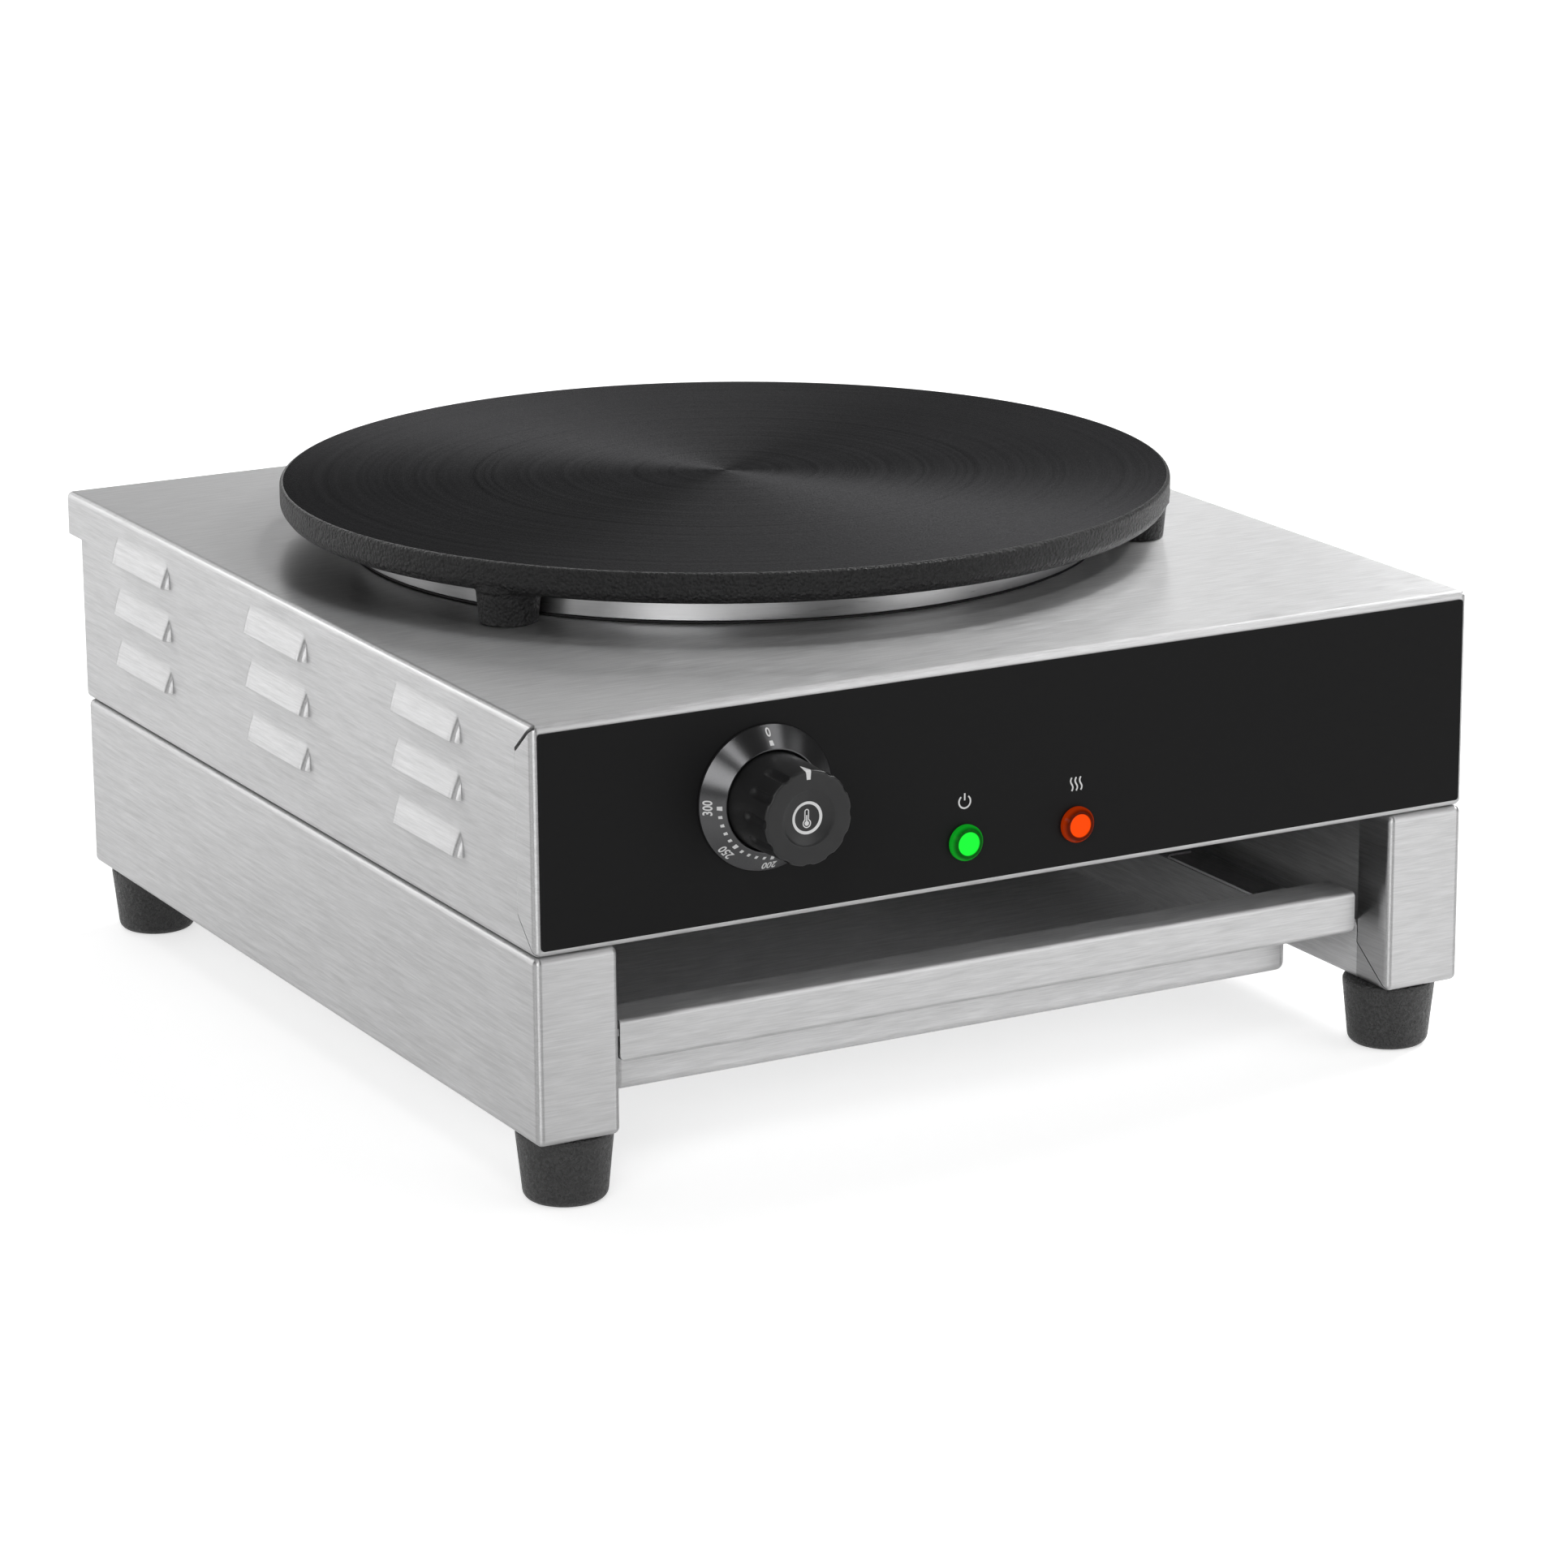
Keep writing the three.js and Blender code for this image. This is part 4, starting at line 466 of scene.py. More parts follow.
def bend_lines(low, high, bend, between, steps=4):
    """Where a box's faces are divided: even steps round the bend at both ends, and the lines between."""
    near = [low + bend * (1 - math.tan(math.pi / 4 * k / steps)) for k in range(steps, -1, -1)]
    far = [low + high - v for v in reversed(near)]
    middle = sorted(set(round(v, 7) for v in between if near[-1] + 1e-5 < v < far[0] - 1e-5))
    return near + middle + far


def box_skin(low, high, bend, between, keep, press=None, extra=()):
    """The outside of a box whose edges are all bent round, in cells.
    keep(axis, far side, middle) says whether a cell is there;
    press(axis, far side, middle, corner) moves a corner."""
    lines = [bend_lines(low[i], high[i], bend, between[i]) for i in range(3)]
    points, faces, marks = [], [], []

    def rounded(p):
        core = Vector([min(max(p[i], low[i] + bend), high[i] - bend) for i in range(3)])
        return core + (Vector(p) - core).normalized() * bend

    def add(corners, mark):
        faces.append(list(range(len(points), len(points) + len(corners))))
        points.extend(corners)
        marks.append(mark)

    for axis in range(3):
        b, c = (axis + 1) % 3, (axis + 2) % 3
        cells = [(bs, cs) for bs in zip(lines[b], lines[b][1:]) for cs in zip(lines[c], lines[c][1:])]
        for far in (False, True):
            for (b0, b1), (c0, c1) in cells:
                middle = Vector((0, 0, 0))
                middle[axis] = high[axis] if far else low[axis]
                middle[b], middle[c] = (b0 + b1) / 2, (c0 + c1) / 2
                if not keep(axis, far, middle):
                    continue
                corners = []
                for vb, vc in ((b0, c0), (b1, c0), (b1, c1), (b0, c1)):
                    p = middle.copy()
                    p[b], p[c] = vb, vc
                    p = rounded(p)
                    corners.append(press(axis, far, middle, p) if press else p)
                add(corners if far else corners[::-1], 1 if axis == 0 else 0)
    for corners, mark in extra:
        add(corners, mark)
    return mesh_of(points, faces, marks)


# ---------------------------------------------------------------- printing


def annulus(outer, inner, segments, a=0.0, b=0.0, start=0.0, sweep=2 * math.pi):
    """Quads of a flat ring, or of a part of one."""
    turns = [start + sweep * i / segments for i in range(segments + 1)]

    def at(radius, turn):
        return (a + radius * math.sin(turn), b + radius * math.cos(turn))

    steps = zip(turns, turns[1:])
    return [[at(inner, t0), at(outer, t0), at(outer, t1), at(inner, t1)] for t0, t1 in steps]


def filled(*loops):
    """Triangles of an outline with holes."""
    flat = [p for loop in loops for p in loop]
    return [
        [tuple(flat[i][:2]) for i in three]
        for three in tessellate_polygon([[Vector((p[0], p[1], 0)) for p in loop] for loop in loops])
    ]


def stroke(path, width):
    """Quads along an open path of even width."""
    sides = both_sides(path, width)
    return [[tuple(a), tuple(b), tuple(d), tuple(c)] for (a, b), (c, d) in zip(sides, sides[1:])]


def numerals(text, height, squeeze=0.97):
    """Faces of a number in the built-in type, centred on 0, 0."""
    curve = bpy.data.curves.new("numerals", "FONT")
    curve.body = text
    curve.size = 1
    curve.offset = 0.018
    curve.resolution_u = 4
    obj = linked("numerals", curve)
    graph = bpy.context.evaluated_depsgraph_get()
    graph.update()
    mesh = bpy.data.meshes.new_from_object(obj.evaluated_get(graph))
    xs = [v.co.x for v in mesh.vertices]
    ys = [v.co.y for v in mesh.vertices]
    middle = Vector(((min(xs) + max(xs)) / 2, (min(ys) + max(ys)) / 2))
    scale = height / (max(ys) - min(ys))
    points = [((v.co.x - middle.x) * scale * squeeze, (v.co.y - middle.y) * scale) for v in mesh.vertices]
    faces = [[points[i] for i in polygon.vertices] for polygon in mesh.polygons]
    bpy.data.objects.remove(obj)
    bpy.data.meshes.remove(mesh)
    bpy.data.curves.remove(curve)
    return faces


def moved(faces, radius, turn):
    """Flat faces turned clockwise, and set as far from 0, 0 as the radius in that direction."""
    cos, sin = math.cos(turn), math.sin(turn)
    a, b = radius * sin, radius * cos
    return [[(a + x * cos + y * sin, b - x * sin + y * cos) for x, y in face] for face in faces]


def printed(faces, place, sink=0.00003, longest=0.0012):
    """Thin closed printing: flat faces laid on a surface by place(a, b, lift)."""
    work = bmesh.new()
    for face in faces:
        work.faces.new([work.verts.new((a, b, 0)) for a, b in face])
    bmesh.ops.remove_doubles(work, verts=work.verts, dist=2e-7)
    for face in work.faces:
        face.normal_update()
        if face.normal.z < 0:
            face.normal_flip()
    long_edges = [e for e in work.edges if e.calc_length() > longest]
    bmesh.ops.subdivide_edges(work, edges=long_edges, cuts=2)
    bmesh.ops.triangulate(work, faces=work.faces)
    work.verts.ensure_lookup_table()
    work.verts.index_update()
    count = len(work.verts)
    points = [place(v.co.x, v.co.y, lift) for lift in (sizes().print_lift, -sink) for v in work.verts]
    made = []
    for face in work.faces:
        ring = [v.index for v in face.verts]
        made += [ring, [i + count for i in reversed(ring)]]
    for edge in work.edges:
        if len(edge.link_faces) == 1:
            a, b = [v.index for v in edge.verts]
            made.append([a, b, b + count, a + count])
    work.free()
    return faced_out(mesh_of(points, made, weld=FINE_WELD))


# ---------------------------------------------------------------- shader groups


def node(tree, kind, inputs=None, **settings):
    """A node with its settings; inputs gives each input a value, or the socket that feeds it."""
    made = tree.nodes.new("ShaderNode" + kind)
    for key, value in settings.items():
        setattr(made, key, value)
    for key, value in (inputs or {}).items():
        if isinstance(value, bpy.types.NodeSocket):
            tree.links.new(value, made.inputs[key])
        else:
            made.inputs[key].default_value = value
    return made


def maths(tree, operation, *values):
    """A math node's result for values that are each a socket or a number."""
    return node(tree, "Math", dict(enumerate(values)), operation=operation).outputs[0]


def vectors(tree, operation, *values):
    """A vector math node's result for values that are each a socket or a vector."""
    made = node(tree, "VectorMath", dict(enumerate(values)), operation=operation)
    return made.outputs["Value" if operation == "LENGTH" else "Vector"]


def noise(tree, vector, scale, detail, rough=0.5):
    """Soft noise from 0 to 1."""
    inputs = {"Vector": vector, "Scale": scale, "Detail": detail, "Roughness": rough}
    return node(tree, "TexNoise", inputs).outputs[0]


def spread(tree, value, start, end, low, high, **settings):
    """A value from the range of start to end, spread over low to high."""
    inputs = {"Value": value, "From Min": start, "From Max": end, "To Min": low, "To Max": high}
    return node(tree, "MapRange", inputs, **settings).outputs["Result"]


def once(build):
    """Builds a group or a material the first time that it is asked for."""
    made = {}

    def ask(*values):
        if values not in made:
            made[values] = build(*values)
        return made[values]

    return ask


def new_group(name, inputs, outputs):
    """An empty shader group with a Vector input, more inputs by name and value, and its outputs."""
    group = bpy.data.node_groups.new(name, "ShaderNodeTree")
    group.interface.new_socket("Vector", in_out="INPUT", socket_type="NodeSocketVector")
    for label, default in inputs.items():
        kind = "Vector" if isinstance(default, tuple) else "Float"
        socket = group.interface.new_socket(label, in_out="INPUT", socket_type="NodeSocket" + kind)
        socket.default_value = default
    for label in outputs:
        group.interface.new_socket(label, in_out="OUTPUT", socket_type="NodeSocketFloat")
    return group, group.nodes.new("NodeGroupInput").outputs, group.nodes.new("NodeGroupOutput").inputs


@once
def brushed_group():
    """Fine straight scratches along one direction, over wider ones."""
    group, given, result = new_group("Brushed grain", {"Stretch": (30.0, 1400.0, 1400.0)}, ["Tone"])
    drawn = vectors(group, "MULTIPLY", given["Vector"], given["Stretch"])
    fine = noise(group, drawn, 1.0, 4.0, 0.62)
    broad = noise(group, vectors(group, "MULTIPLY", drawn, (0.7, 0.3, 0.3)), 1.0, 3.0)
    both = maths(group, "ADD", maths(group, "MULTIPLY", fine, 0.6), maths(group, "MULTIPLY", broad, 0.4))
    group.links.new(both, result["Tone"])
    return group


@once
def pebble_group():
    """Coarse cast or moulded grain: rounded grit with finer speckle."""
    group, given, result = new_group("Cast grain", {"Scale": 600.0, "Fine": 0.4}, ["Height", "Speckle"])
    where = {"Vector": given["Vector"], "Scale": given["Scale"], "Smoothness": 0.6}
    cells = node(group, "TexVoronoi", where, feature="SMOOTH_F1").outputs["Distance"]
    grit = noise(group, given["Vector"], maths(group, "MULTIPLY", given["Scale"], 1.7), 5.0, 0.65)
    rise = maths(group, "SUBTRACT", 1.0, cells)
    height = maths(group, "ADD", rise, maths(group, "MULTIPLY", grit, given["Fine"]))
    group.links.new(height, result["Height"])
    group.links.new(grit, result["Speckle"])
    return group


@once
def marks_group():
    """Slow handling marks and dust that change tone and gloss a little."""
    group, given, result = new_group("Handling marks", {"Scale": 14.0}, ["Cloud", "Specks"])
    group.links.new(noise(group, given["Vector"], given["Scale"], 4.0, 0.55), result["Cloud"])
    dust = maths(group, "MULTIPLY", given["Scale"], 90.0)
    group.links.new(noise(group, given["Vector"], dust, 2.0), result["Specks"])
    return group


@once
def rings_group():
    """Fine turned rings, and wider bands of them, round a middle line that runs along Z."""
    values = {"Middle": (0.0, 0.0, 0.0), "Pitch": 1600.0}
    group, given, result = new_group("Turned rings", values, ["Height", "Band"])
    local = vectors(group, "SUBTRACT", given["Vector"], given["Middle"])
    radius = vectors(group, "LENGTH", vectors(group, "MULTIPLY", local, (1.0, 1.0, 0.0)))
    for label, pitch, detail, rough in (("Height", given["Pitch"], 3.0, 0.7), ("Band", 260.0, 2.0, 0.5)):
        line = node(group, "CombineXYZ", {0: maths(group, "MULTIPLY", radius, pitch)})
        group.links.new(noise(group, line.outputs[0], 1.0, detail, rough), result[label])
    return group


# ---------------------------------------------------------------- finishes


def scaled(values, by):
    """A colour made darker or lighter."""
    return tuple(min(1.0, v * by) for v in values)


class Finish:
    """A material under construction: its tree, its surface shader and its object coordinates."""

    def __init__(self, name, **constants):
        self.material = bpy.data.materials.new(name)
        self.material.use_nodes = True
        self.tree = self.material.node_tree
        self.surface = self.tree.nodes["Principled BSDF"]
        self.where = self.tree.nodes.new("ShaderNodeTexCoord").outputs["Object"]
        for key, value in constants.items():
            self.surface.inputs[key.replace("_", " ")].default_value = value

    def link(self, output, socket):
        """Feeds one of the surface shader's inputs."""
        self.tree.links.new(output, self.surface.inputs[socket])

    def group(self, group, **values):
        """A shared group, fed with object coordinates and its own values."""
        made = self.tree.nodes.new("ShaderNodeGroup")
        made.node_tree = group
        self.tree.links.new(self.where, made.inputs["Vector"])
        for key, value in values.items():
            made.inputs[key].default_value = value
        return made.outputs

    def ranged(self, output, low, high):
        """A noise value spread over low to high."""
        return spread(self.tree, output, 0.3, 0.7, low, high)

    def coloured(self, output, dark, light):
        """The surface's colour between two, by a noise value."""
        inputs = {"Factor": self.ranged(output, 0.0, 1.0), "A": (*dark, 1), "B": (*light, 1)}
        self.link(node(self.tree, "Mix", inputs, data_type="RGBA").outputs["Result"], "Base Color")

    def dressed(self, output, base, shades, gloss, gloss_from=None):
        """The surface's colour between two shades of its base, and its roughness, each by a noise value."""
        self.coloured(output, *(scaled(base, shade) for shade in shades))
        self.link(self.ranged(gloss_from or output, *gloss), "Roughness")

    def relief(self, height, distance, strength):
        """Fine relief on the surface, on top of the relief that it already has."""
        inputs = {"Strength": strength, "Distance": distance, "Height": height}
        for below in self.surface.inputs["Normal"].links:
            inputs["Normal"] = below.from_socket
        self.link(node(self.tree, "Bump", inputs).outputs["Normal"], "Normal")

    def grained(self, tangent, amount):
        """Reflections that spread across the grain."""
        self.link(tangent, "Tangent")
        self.surface.inputs["Anisotropic"].default_value = amount
        self.surface.inputs["Anisotropic Rotation"].default_value = 0.25

    def grain_round(self, middle, amount, axis=(0.0, 0.0, 1.0)):
        """Reflections that spread away from a middle line."""
        local = vectors(self.tree, "SUBTRACT", self.where, middle)
        self.grained(vectors(self.tree, "CROSS_PRODUCT", axis, local), amount)


@once
def brushed_steel(direction="X", shade=1.0, metal=1.0):
    """Brushed stainless sheet, with its grain along X or Y."""
    # shade scales the steel's colour: above 1 it paints light on the louvres and inner sheets, below 1 it
    # darkens the rear panel and glides
    name = "Brushed steel " + direction + (" dull" if shade < 1 or metal < 1 else "")
    finish = Finish(name, Metallic=metal)
    along = {"X": (1, 0, 0), "Y": (0, 1, 0)}[direction]
    stretch = {"X": (75.0, 1700.0, 1700.0), "Y": (1700.0, 75.0, 1700.0)}[direction]
    tone = finish.group(brushed_group(), Stretch=stretch)["Tone"]
    finish.dressed(tone, scaled(colours().steel, shade), (0.80, 1.17), (0.34, 0.46))
    finish.relief(tone, 0.00003, 0.35)
    finish.grained(node(finish.tree, "CombineXYZ", dict(enumerate(along))).outputs[0], 0.88)
    return finish.material


@once
def ring_steel():
    """Stainless band brushed round its length."""
    finish = Finish("Brushed steel band", Metallic=1.0)
    tone = finish.group(brushed_group(), Stretch=(60.0, 60.0, 2600.0))["Tone"]
    finish.dressed(tone, scaled(colours().steel, 1.12), (0.93, 1.05), (0.26, 0.34))
    finish.relief(tone, 0.00002, 0.2)
    return finish.material


@once
def turned_iron():
    """Seasoned cast iron, turned in fine rings."""
    middle = (0.0, PLATE_Y, 0.0)
    finish = Finish("Turned iron", Metallic=1.0, Specular_Tint=(0.0, 0.0, 0.0, 1.0))
    rings = finish.group(rings_group(), Middle=middle, Pitch=480.0)
    grain = finish.group(pebble_group(), Scale=1000.0, Fine=0.8)
    finish.dressed(grain["Speckle"], colours().iron, (3.5, 5.5), (0.56, 0.74), rings["Band"])
    finish.relief(grain["Height"], 0.0002, 0.8)
    finish.relief(rings["Height"], 0.0004, 1.0)
    finish.grain_round(middle, 0.58)
    return finish.material


@once
def pebbled(name, tone, specular, scale, fine, shades, gloss, depth):
    """Black iron as cast, or rubber with a coarse skin."""
    finish = Finish(name, Metallic=0.0, Specular_IOR_Level=specular)
    grain = finish.group(pebble_group(), Scale=scale, Fine=fine)
    finish.dressed(grain["Speckle"], getattr(colours(), tone), shades, gloss)
    finish.relief(grain["Height"], depth, 1.0)
    return finish.material


def rough_iron():
    """Seasoned cast iron as cast."""
    return pebbled("Rough iron", "iron", 0.42, 640.0, 0.8, (0.2, 1.1), (0.24, 0.5), 0.0011)


def foot_rubber():
    """Black rubber with a coarse pebbled skin."""
    return pebbled("Foot rubber", "rubber", 0.9, 430.0, 1.6, (0.1, 2.4), (0.42, 0.16), 0.0014)


@once
def panel_film():
    """Black satin control panel film."""
    finish = Finish("Panel film", Metallic=0.0, Specular_IOR_Level=0.12)
    marks = finish.group(marks_group(), Scale=12.0)
    finish.dressed(marks["Cloud"], colours().film, (0.95, 1.06), (0.46, 0.52))
    finish.relief(marks["Specks"], 0.00001, 0.15)
    return finish.material


@once
def moulding(name, shade, gloss):
    """Black moulded plastic with a fine spark-eroded grain."""
    finish = Finish(name, Metallic=0.0, Specular_IOR_Level=0.4)
    grain = finish.group(pebble_group(), Scale=3200.0, Fine=0.9)
    marks = finish.group(marks_group(), Scale=60.0)
    finish.dressed(marks["Cloud"], scaled(colours().knob, shade), (0.85, 1.2), (gloss - 0.04, gloss + 0.05))
    finish.relief(grain["Height"], 0.00003, 0.35)
    return finish.material


@once
def dial_satin():
    """Satin grey dial ring, spun round the knob."""
    finish = Finish("Dial satin", Metallic=1.0)
    grain = finish.group(pebble_group(), Scale=4200.0, Fine=0.9)
    marks = finish.group(marks_group(), Scale=50.0)
    finish.dressed(marks["Cloud"], scaled(colours().dial, 1.15), (0.9, 1.1), (0.26, 0.31), grain["Speckle"])
    finish.relief(grain["Height"], 0.00001, 0.25)
    finish.grain_round((KNOB_X, 0.0, KNOB_Z), 0.7, (0.0, 1.0, 0.0))
    return finish.material


@once
def print_white():
    """Screen-printed white."""
    finish = Finish("Print white", Metallic=0.0)
    marks = finish.group(marks_group(), Scale=200.0)
    finish.dressed(marks["Cloud"], colours().print_white, (0.94, 1.0), (0.45, 0.55), marks["Specks"])
    return finish.material


@once
def lamp_lens(which):
    """Glowing moulded lens, bright in the middle and deep in colour at its rim."""
    base = getattr(colours(), which)
    x, _, z = middle_of("lamp_lens_" + which)
    finish = Finish("Lamp " + which, Metallic=0.0, Emission_Strength=1.0, Specular_IOR_Level=0.06)
    tree = finish.tree
    local = vectors(tree, "SUBTRACT", finish.where, (x, 0.0, z))
    reach = vectors(tree, "LENGTH", vectors(tree, "MULTIPLY", local, (1.0, 0.0, 1.0)))
    glow = spread(tree, reach, 0.0048, 0.0052, 1.0, 0.0, interpolation_type="SMOOTHSTEP")
    edge = spread(tree, reach, 0.0060, 0.0075, 0.0, 0.22, interpolation_type="SMOOTHSTEP")
    inputs = {"Factor": maths(tree, "ADD", glow, edge), "A": (*scaled(base, 0.05), 1), "B": (*base, 1)}
    finish.link(node(tree, "Mix", inputs, data_type="RGBA").outputs["Result"], "Emission Color")
    marks = finish.group(marks_group(), Scale=120.0)
    finish.dressed(marks["Cloud"], base, (0.05, 0.09), (0.12, 0.2))
    return finish.material


@once
def plated(name, tone, gloss):
    """Plated or bare metal fixings."""
    finish = Finish(name, Metallic=1.0)
    marks = finish.group(marks_group(), Scale=90.0)
    finish.dressed(marks["Cloud"], getattr(colours(), tone), (0.82, 1.1), (gloss - 0.05, gloss + 0.1))
    finish.relief(marks["Specks"], 0.00001, 0.3)
    return finish.material


@once
def sheathed():
    """Heat-darkened element sheath."""
    finish = Finish("Element sheath", Metallic=1.0)
    marks = finish.group(marks_group(), Scale=30.0)
    finish.coloured(marks["Cloud"], (0.06, 0.058, 0.055), (0.16, 0.14, 0.13))
    finish.link(finish.ranged(marks["Cloud"], 0.5, 0.65), "Roughness")
    finish.relief(marks["Specks"], 0.00003, 0.4)
    return finish.material


@once
def matte(name, tone, relief, grit):
    """Matte ceramic, fibre or wire sleeve."""
    base = getattr(colours(), tone) if isinstance(tone, str) else tone
    finish = Finish(name, Metallic=0.0)
    grain = finish.group(pebble_group(), Scale=grit, Fine=0.9)
    finish.dressed(grain["Speckle"], base, (0.85, 1.08), (0.7, 0.9))
    finish.relief(grain["Height"], relief, 0.6)
    return finish.material


# ---------------------------------------------------------------- housing


def louvre_places():
    """The middle along the wall and the top height of each louvre."""
    s = sizes()
    middle = (FRONT + BACK) / 2 + s.louvre_shift
    return [
        (middle + column * s.louvre_pitch_along, COVER_TOP - s.louvre_top - row * s.louvre_pitch_down)
        for column in (-1, 0, 1)
        for row in range(3)
    ]


def rounding(share):
    """Height of a quarter round at this share of its way, from 0 to 1."""
    return math.sqrt(max(0.0, 1 - (1 - min(share, 1)) ** 2))


def louvre_press(y, z, place):
    """How far a louvre stands out of its wall: a lip, round upper corners and a creased bead at its ends."""
    s = sizes()
    down = (place[1] - z) / s.louvre_height
    if down <= 1e-6 or down > 1 + 1e-4:
        return 0.0
    ease, lip, tuck = 0.26, 0.06, 0.10  # shares: slope's soft start, lip's height and how far it turns in
    rise = (down * down / (2 * ease) if down < ease else down - ease / 2) / (1 - ease / 2)
    rise -= tuck * (max(down - (1 - lip), 0) / lip) ** 2
    inside = s.louvre_length / 2 - s.louvre_corner * (1 - rounding(down / 0.55)) - abs(y - place[0])
    if inside <= 1e-6:
        return 0.0
    taper = 0.0046 if y < place[0] else 0.0018  # length of the rounded end, longer at the front
    low = min(max((down - 0.5) / 0.35, 0), 1)
    crease = 0.05 * low * math.exp(-(((inside - s.louvre_bead) / 0.0007) ** 2))
    return s.louvre_reach * max(rise, 0.0) * max(rounding(inside / taper) - crease, 0.0)


def housing_skin():
    """The folded outside of the upper housing, with its louvres and closed seams pressed in."""
    s = sizes()
    places = louvre_places()
    half = s.louvre_length / 2
    end = 0.0095  # length of a louvre's finely divided end
    ends = [end * k / 16 for k in range(17)]
    along, down = [BACK, FRONT + s.flange], [COVER_TOP - s.rear_lip]
    for y, top in places:
        along += [y - half + e for e in ends] + [y + half - e for e in ends]
        along += [y - half + end + 2 * (half - end) * k / 6 for k in range(1, 6)]
        down += [top - s.louvre_height * k / 16 for k in range(16)]
        down += [top - s.louvre_height * k for k in (0.955, 0.975, 0.99, 1.0)]
    seam_y, seam_half = FRONT + s.corner_return, 0.0004
    along += [seam_y - seam_half, seam_y, seam_y + seam_half]
    seam_low, seam_high = HOUSING_LOW + s.corner_return, COVER_TOP - 0.013
    down += [seam_low, seam_high]
    across = [-HALF_WIDTH + s.flange, HALF_WIDTH - s.flange]

    def keep(axis, far, middle):
        if axis == 2 and not far:
            side = abs(middle.x) > HALF_WIDTH - s.flange
            return middle.y < BACK and (side or middle.y < FRONT + s.flange)
        if axis == 1 and far:
            return middle.z > COVER_TOP - s.rear_lip
        if axis == 0:
            return middle.y < BACK or middle.z > COVER_TOP - s.rear_lip
        return True

    def press(axis, far, middle, corner):
        if axis != 0:
            return corner
        outward = Vector((1 if far else -1, 0, 0))
        for place in places:
            if abs(middle.y - place[0]) < half and 0 < place[1] - middle.z < s.louvre_height:
                return corner + outward * louvre_press(corner.y, corner.z, place)
        if abs(corner.y - seam_y) < 1e-5 and seam_low < middle.z < seam_high:
            return corner - outward * s.groove
        return corner

    low, high = (-HALF_WIDTH, FRONT, HOUSING_LOW), (HALF_WIDTH, REAR_EDGE, COVER_TOP)
    return box_skin(low, high, s.bend, (across, along, down), keep, press)


def slotted(mesh, start, end, width, picked):
    """Opens a straight slit through a skin, along a line drawn in (y, z), in the cells that are picked."""
    start, end = Vector(start), Vector(end)
    along = (end - start).normalized()
    aside = Vector((-along.y, along.x))

    def divide(work):
        for side in (-1, 1):
            faces = [f for f in work.faces if picked(f.calc_center_median())]
            edges = list({e for f in faces for e in f.edges})
            points = list({v for f in faces for v in f.verts})
            place = start + aside * (side * width / 2)
            bmesh.ops.bisect_plane(
                work,
                geom=faces + edges + points,
                dist=1e-7,
                plane_co=(0, place.x, place.y),
                plane_no=(0, aside.x, aside.y),
            )

    def open_up(work):
        gone = []
        for face in work.faces:
            middle = face.calc_center_median()
            if picked(middle) and abs((Vector((middle.y, middle.z)) - start).dot(aside)) < width / 2:
                gone.append(face)
        bmesh.ops.delete(work, geom=gone, context="FACES")

    return worked(mesh, divide, open_up)


def leg_places():
    """The middles of the plate's three legs."""
    reach = sizes().leg_circle
    turns = [math.radians(degrees) for degrees in (-148, -32, 90)]
    return [(reach * math.cos(t), PLATE_Y + reach * math.sin(t)) for t in turns]


def lamp_places():
    """The middle of each pilot lamp, across and up."""
    middles = {which: middle_of("lamp_lens_" + which) for which in ("green", "red")}
    return {which: (x, z) for which, (x, _, z) in middles.items()}


def front_holes(start, end):
    """Tools for the holes of the thermostat's bush and of the lamps."""
    holes = [(sizes().bush_hole, KNOB_X, KNOB_Z)]
    holes += [(sizes().lamp_hole, x, z) for x, z in lamp_places().values()]
    return [prism(circle(radius, 32, x, z), "Y", start, end) for radius, x, z in holes]


class GRIDDLE_OT_housing(bpy.types.Operator):
    """Fold the upper housing: cover, front, louvred sides and rear lip"""

    bl_idname = "griddle.housing"
    bl_label = "Upper housing"

    def execute(self, context):
        s = sizes()
        seam = FRONT + s.corner_return
        mitre_foot, seam_head = COVER_TOP - 0.0128, HOUSING_LOW + s.corner_return
        rim = HALF_WIDTH - 2.2 * s.sheet

        def upper_corner(p):
            return abs(p.x) > rim and p.y < seam and p.z > COVER_TOP - 0.016

        def lower_corner(p):
            return abs(p.x) > rim and p.y < seam and p.z < HOUSING_LOW + 0.017

        skin = slotted(housing_skin(), (FRONT, COVER_TOP), (seam, mitre_foot), s.mitre_gap, upper_corner)
        hairline = 0.0004  # width of the closed mitre below
        skin = slotted(skin, (FRONT, HOUSING_LOW), (seam, seam_head), hairline, lower_corner)
        deep, bolt_hole = 3 * s.sheet, 0.0046
        holes = [(s.heater_opening, 96, 0, PLATE_Y), *((bolt_hole, 24, x, y) for x, y in leg_places())]
        tools = [prism(circle(*hole), "Z", COVER_TOP - deep, COVER_TOP + CLEAR) for hole in holes]
        shell = cut(thickened(skin, s.sheet), *tools, *front_holes(FRONT - CLEAR, FRONT + deep))
        # The pressed louvre faces get a lighter copy of the steel, shade 1.04: a painted highlight on the
        # louvres.
        pressed_out = HALF_WIDTH + 0.0002
        for face in shell.polygons:
            if abs(face.center.x) > pressed_out:
                face.material_index = 2
        steels = [brushed_steel("X"), brushed_steel("Y"), brushed_steel("Y", 1.04)]
        placed("housing_cover", shell, "casing", "stainless_brushed", steels, ["housing_shell"], smooth=32)
        return {"FINISHED"}


# ---------------------------------------------------------------- base frame


def lip_span():
    """Where a rail's inner lip begins and ends between its posts, and how high it reaches."""
    s = sizes()
    return FRONT + s.post_return, BACK - s.post_return, RIGHT_RAIL[0][2] + s.rail_lip


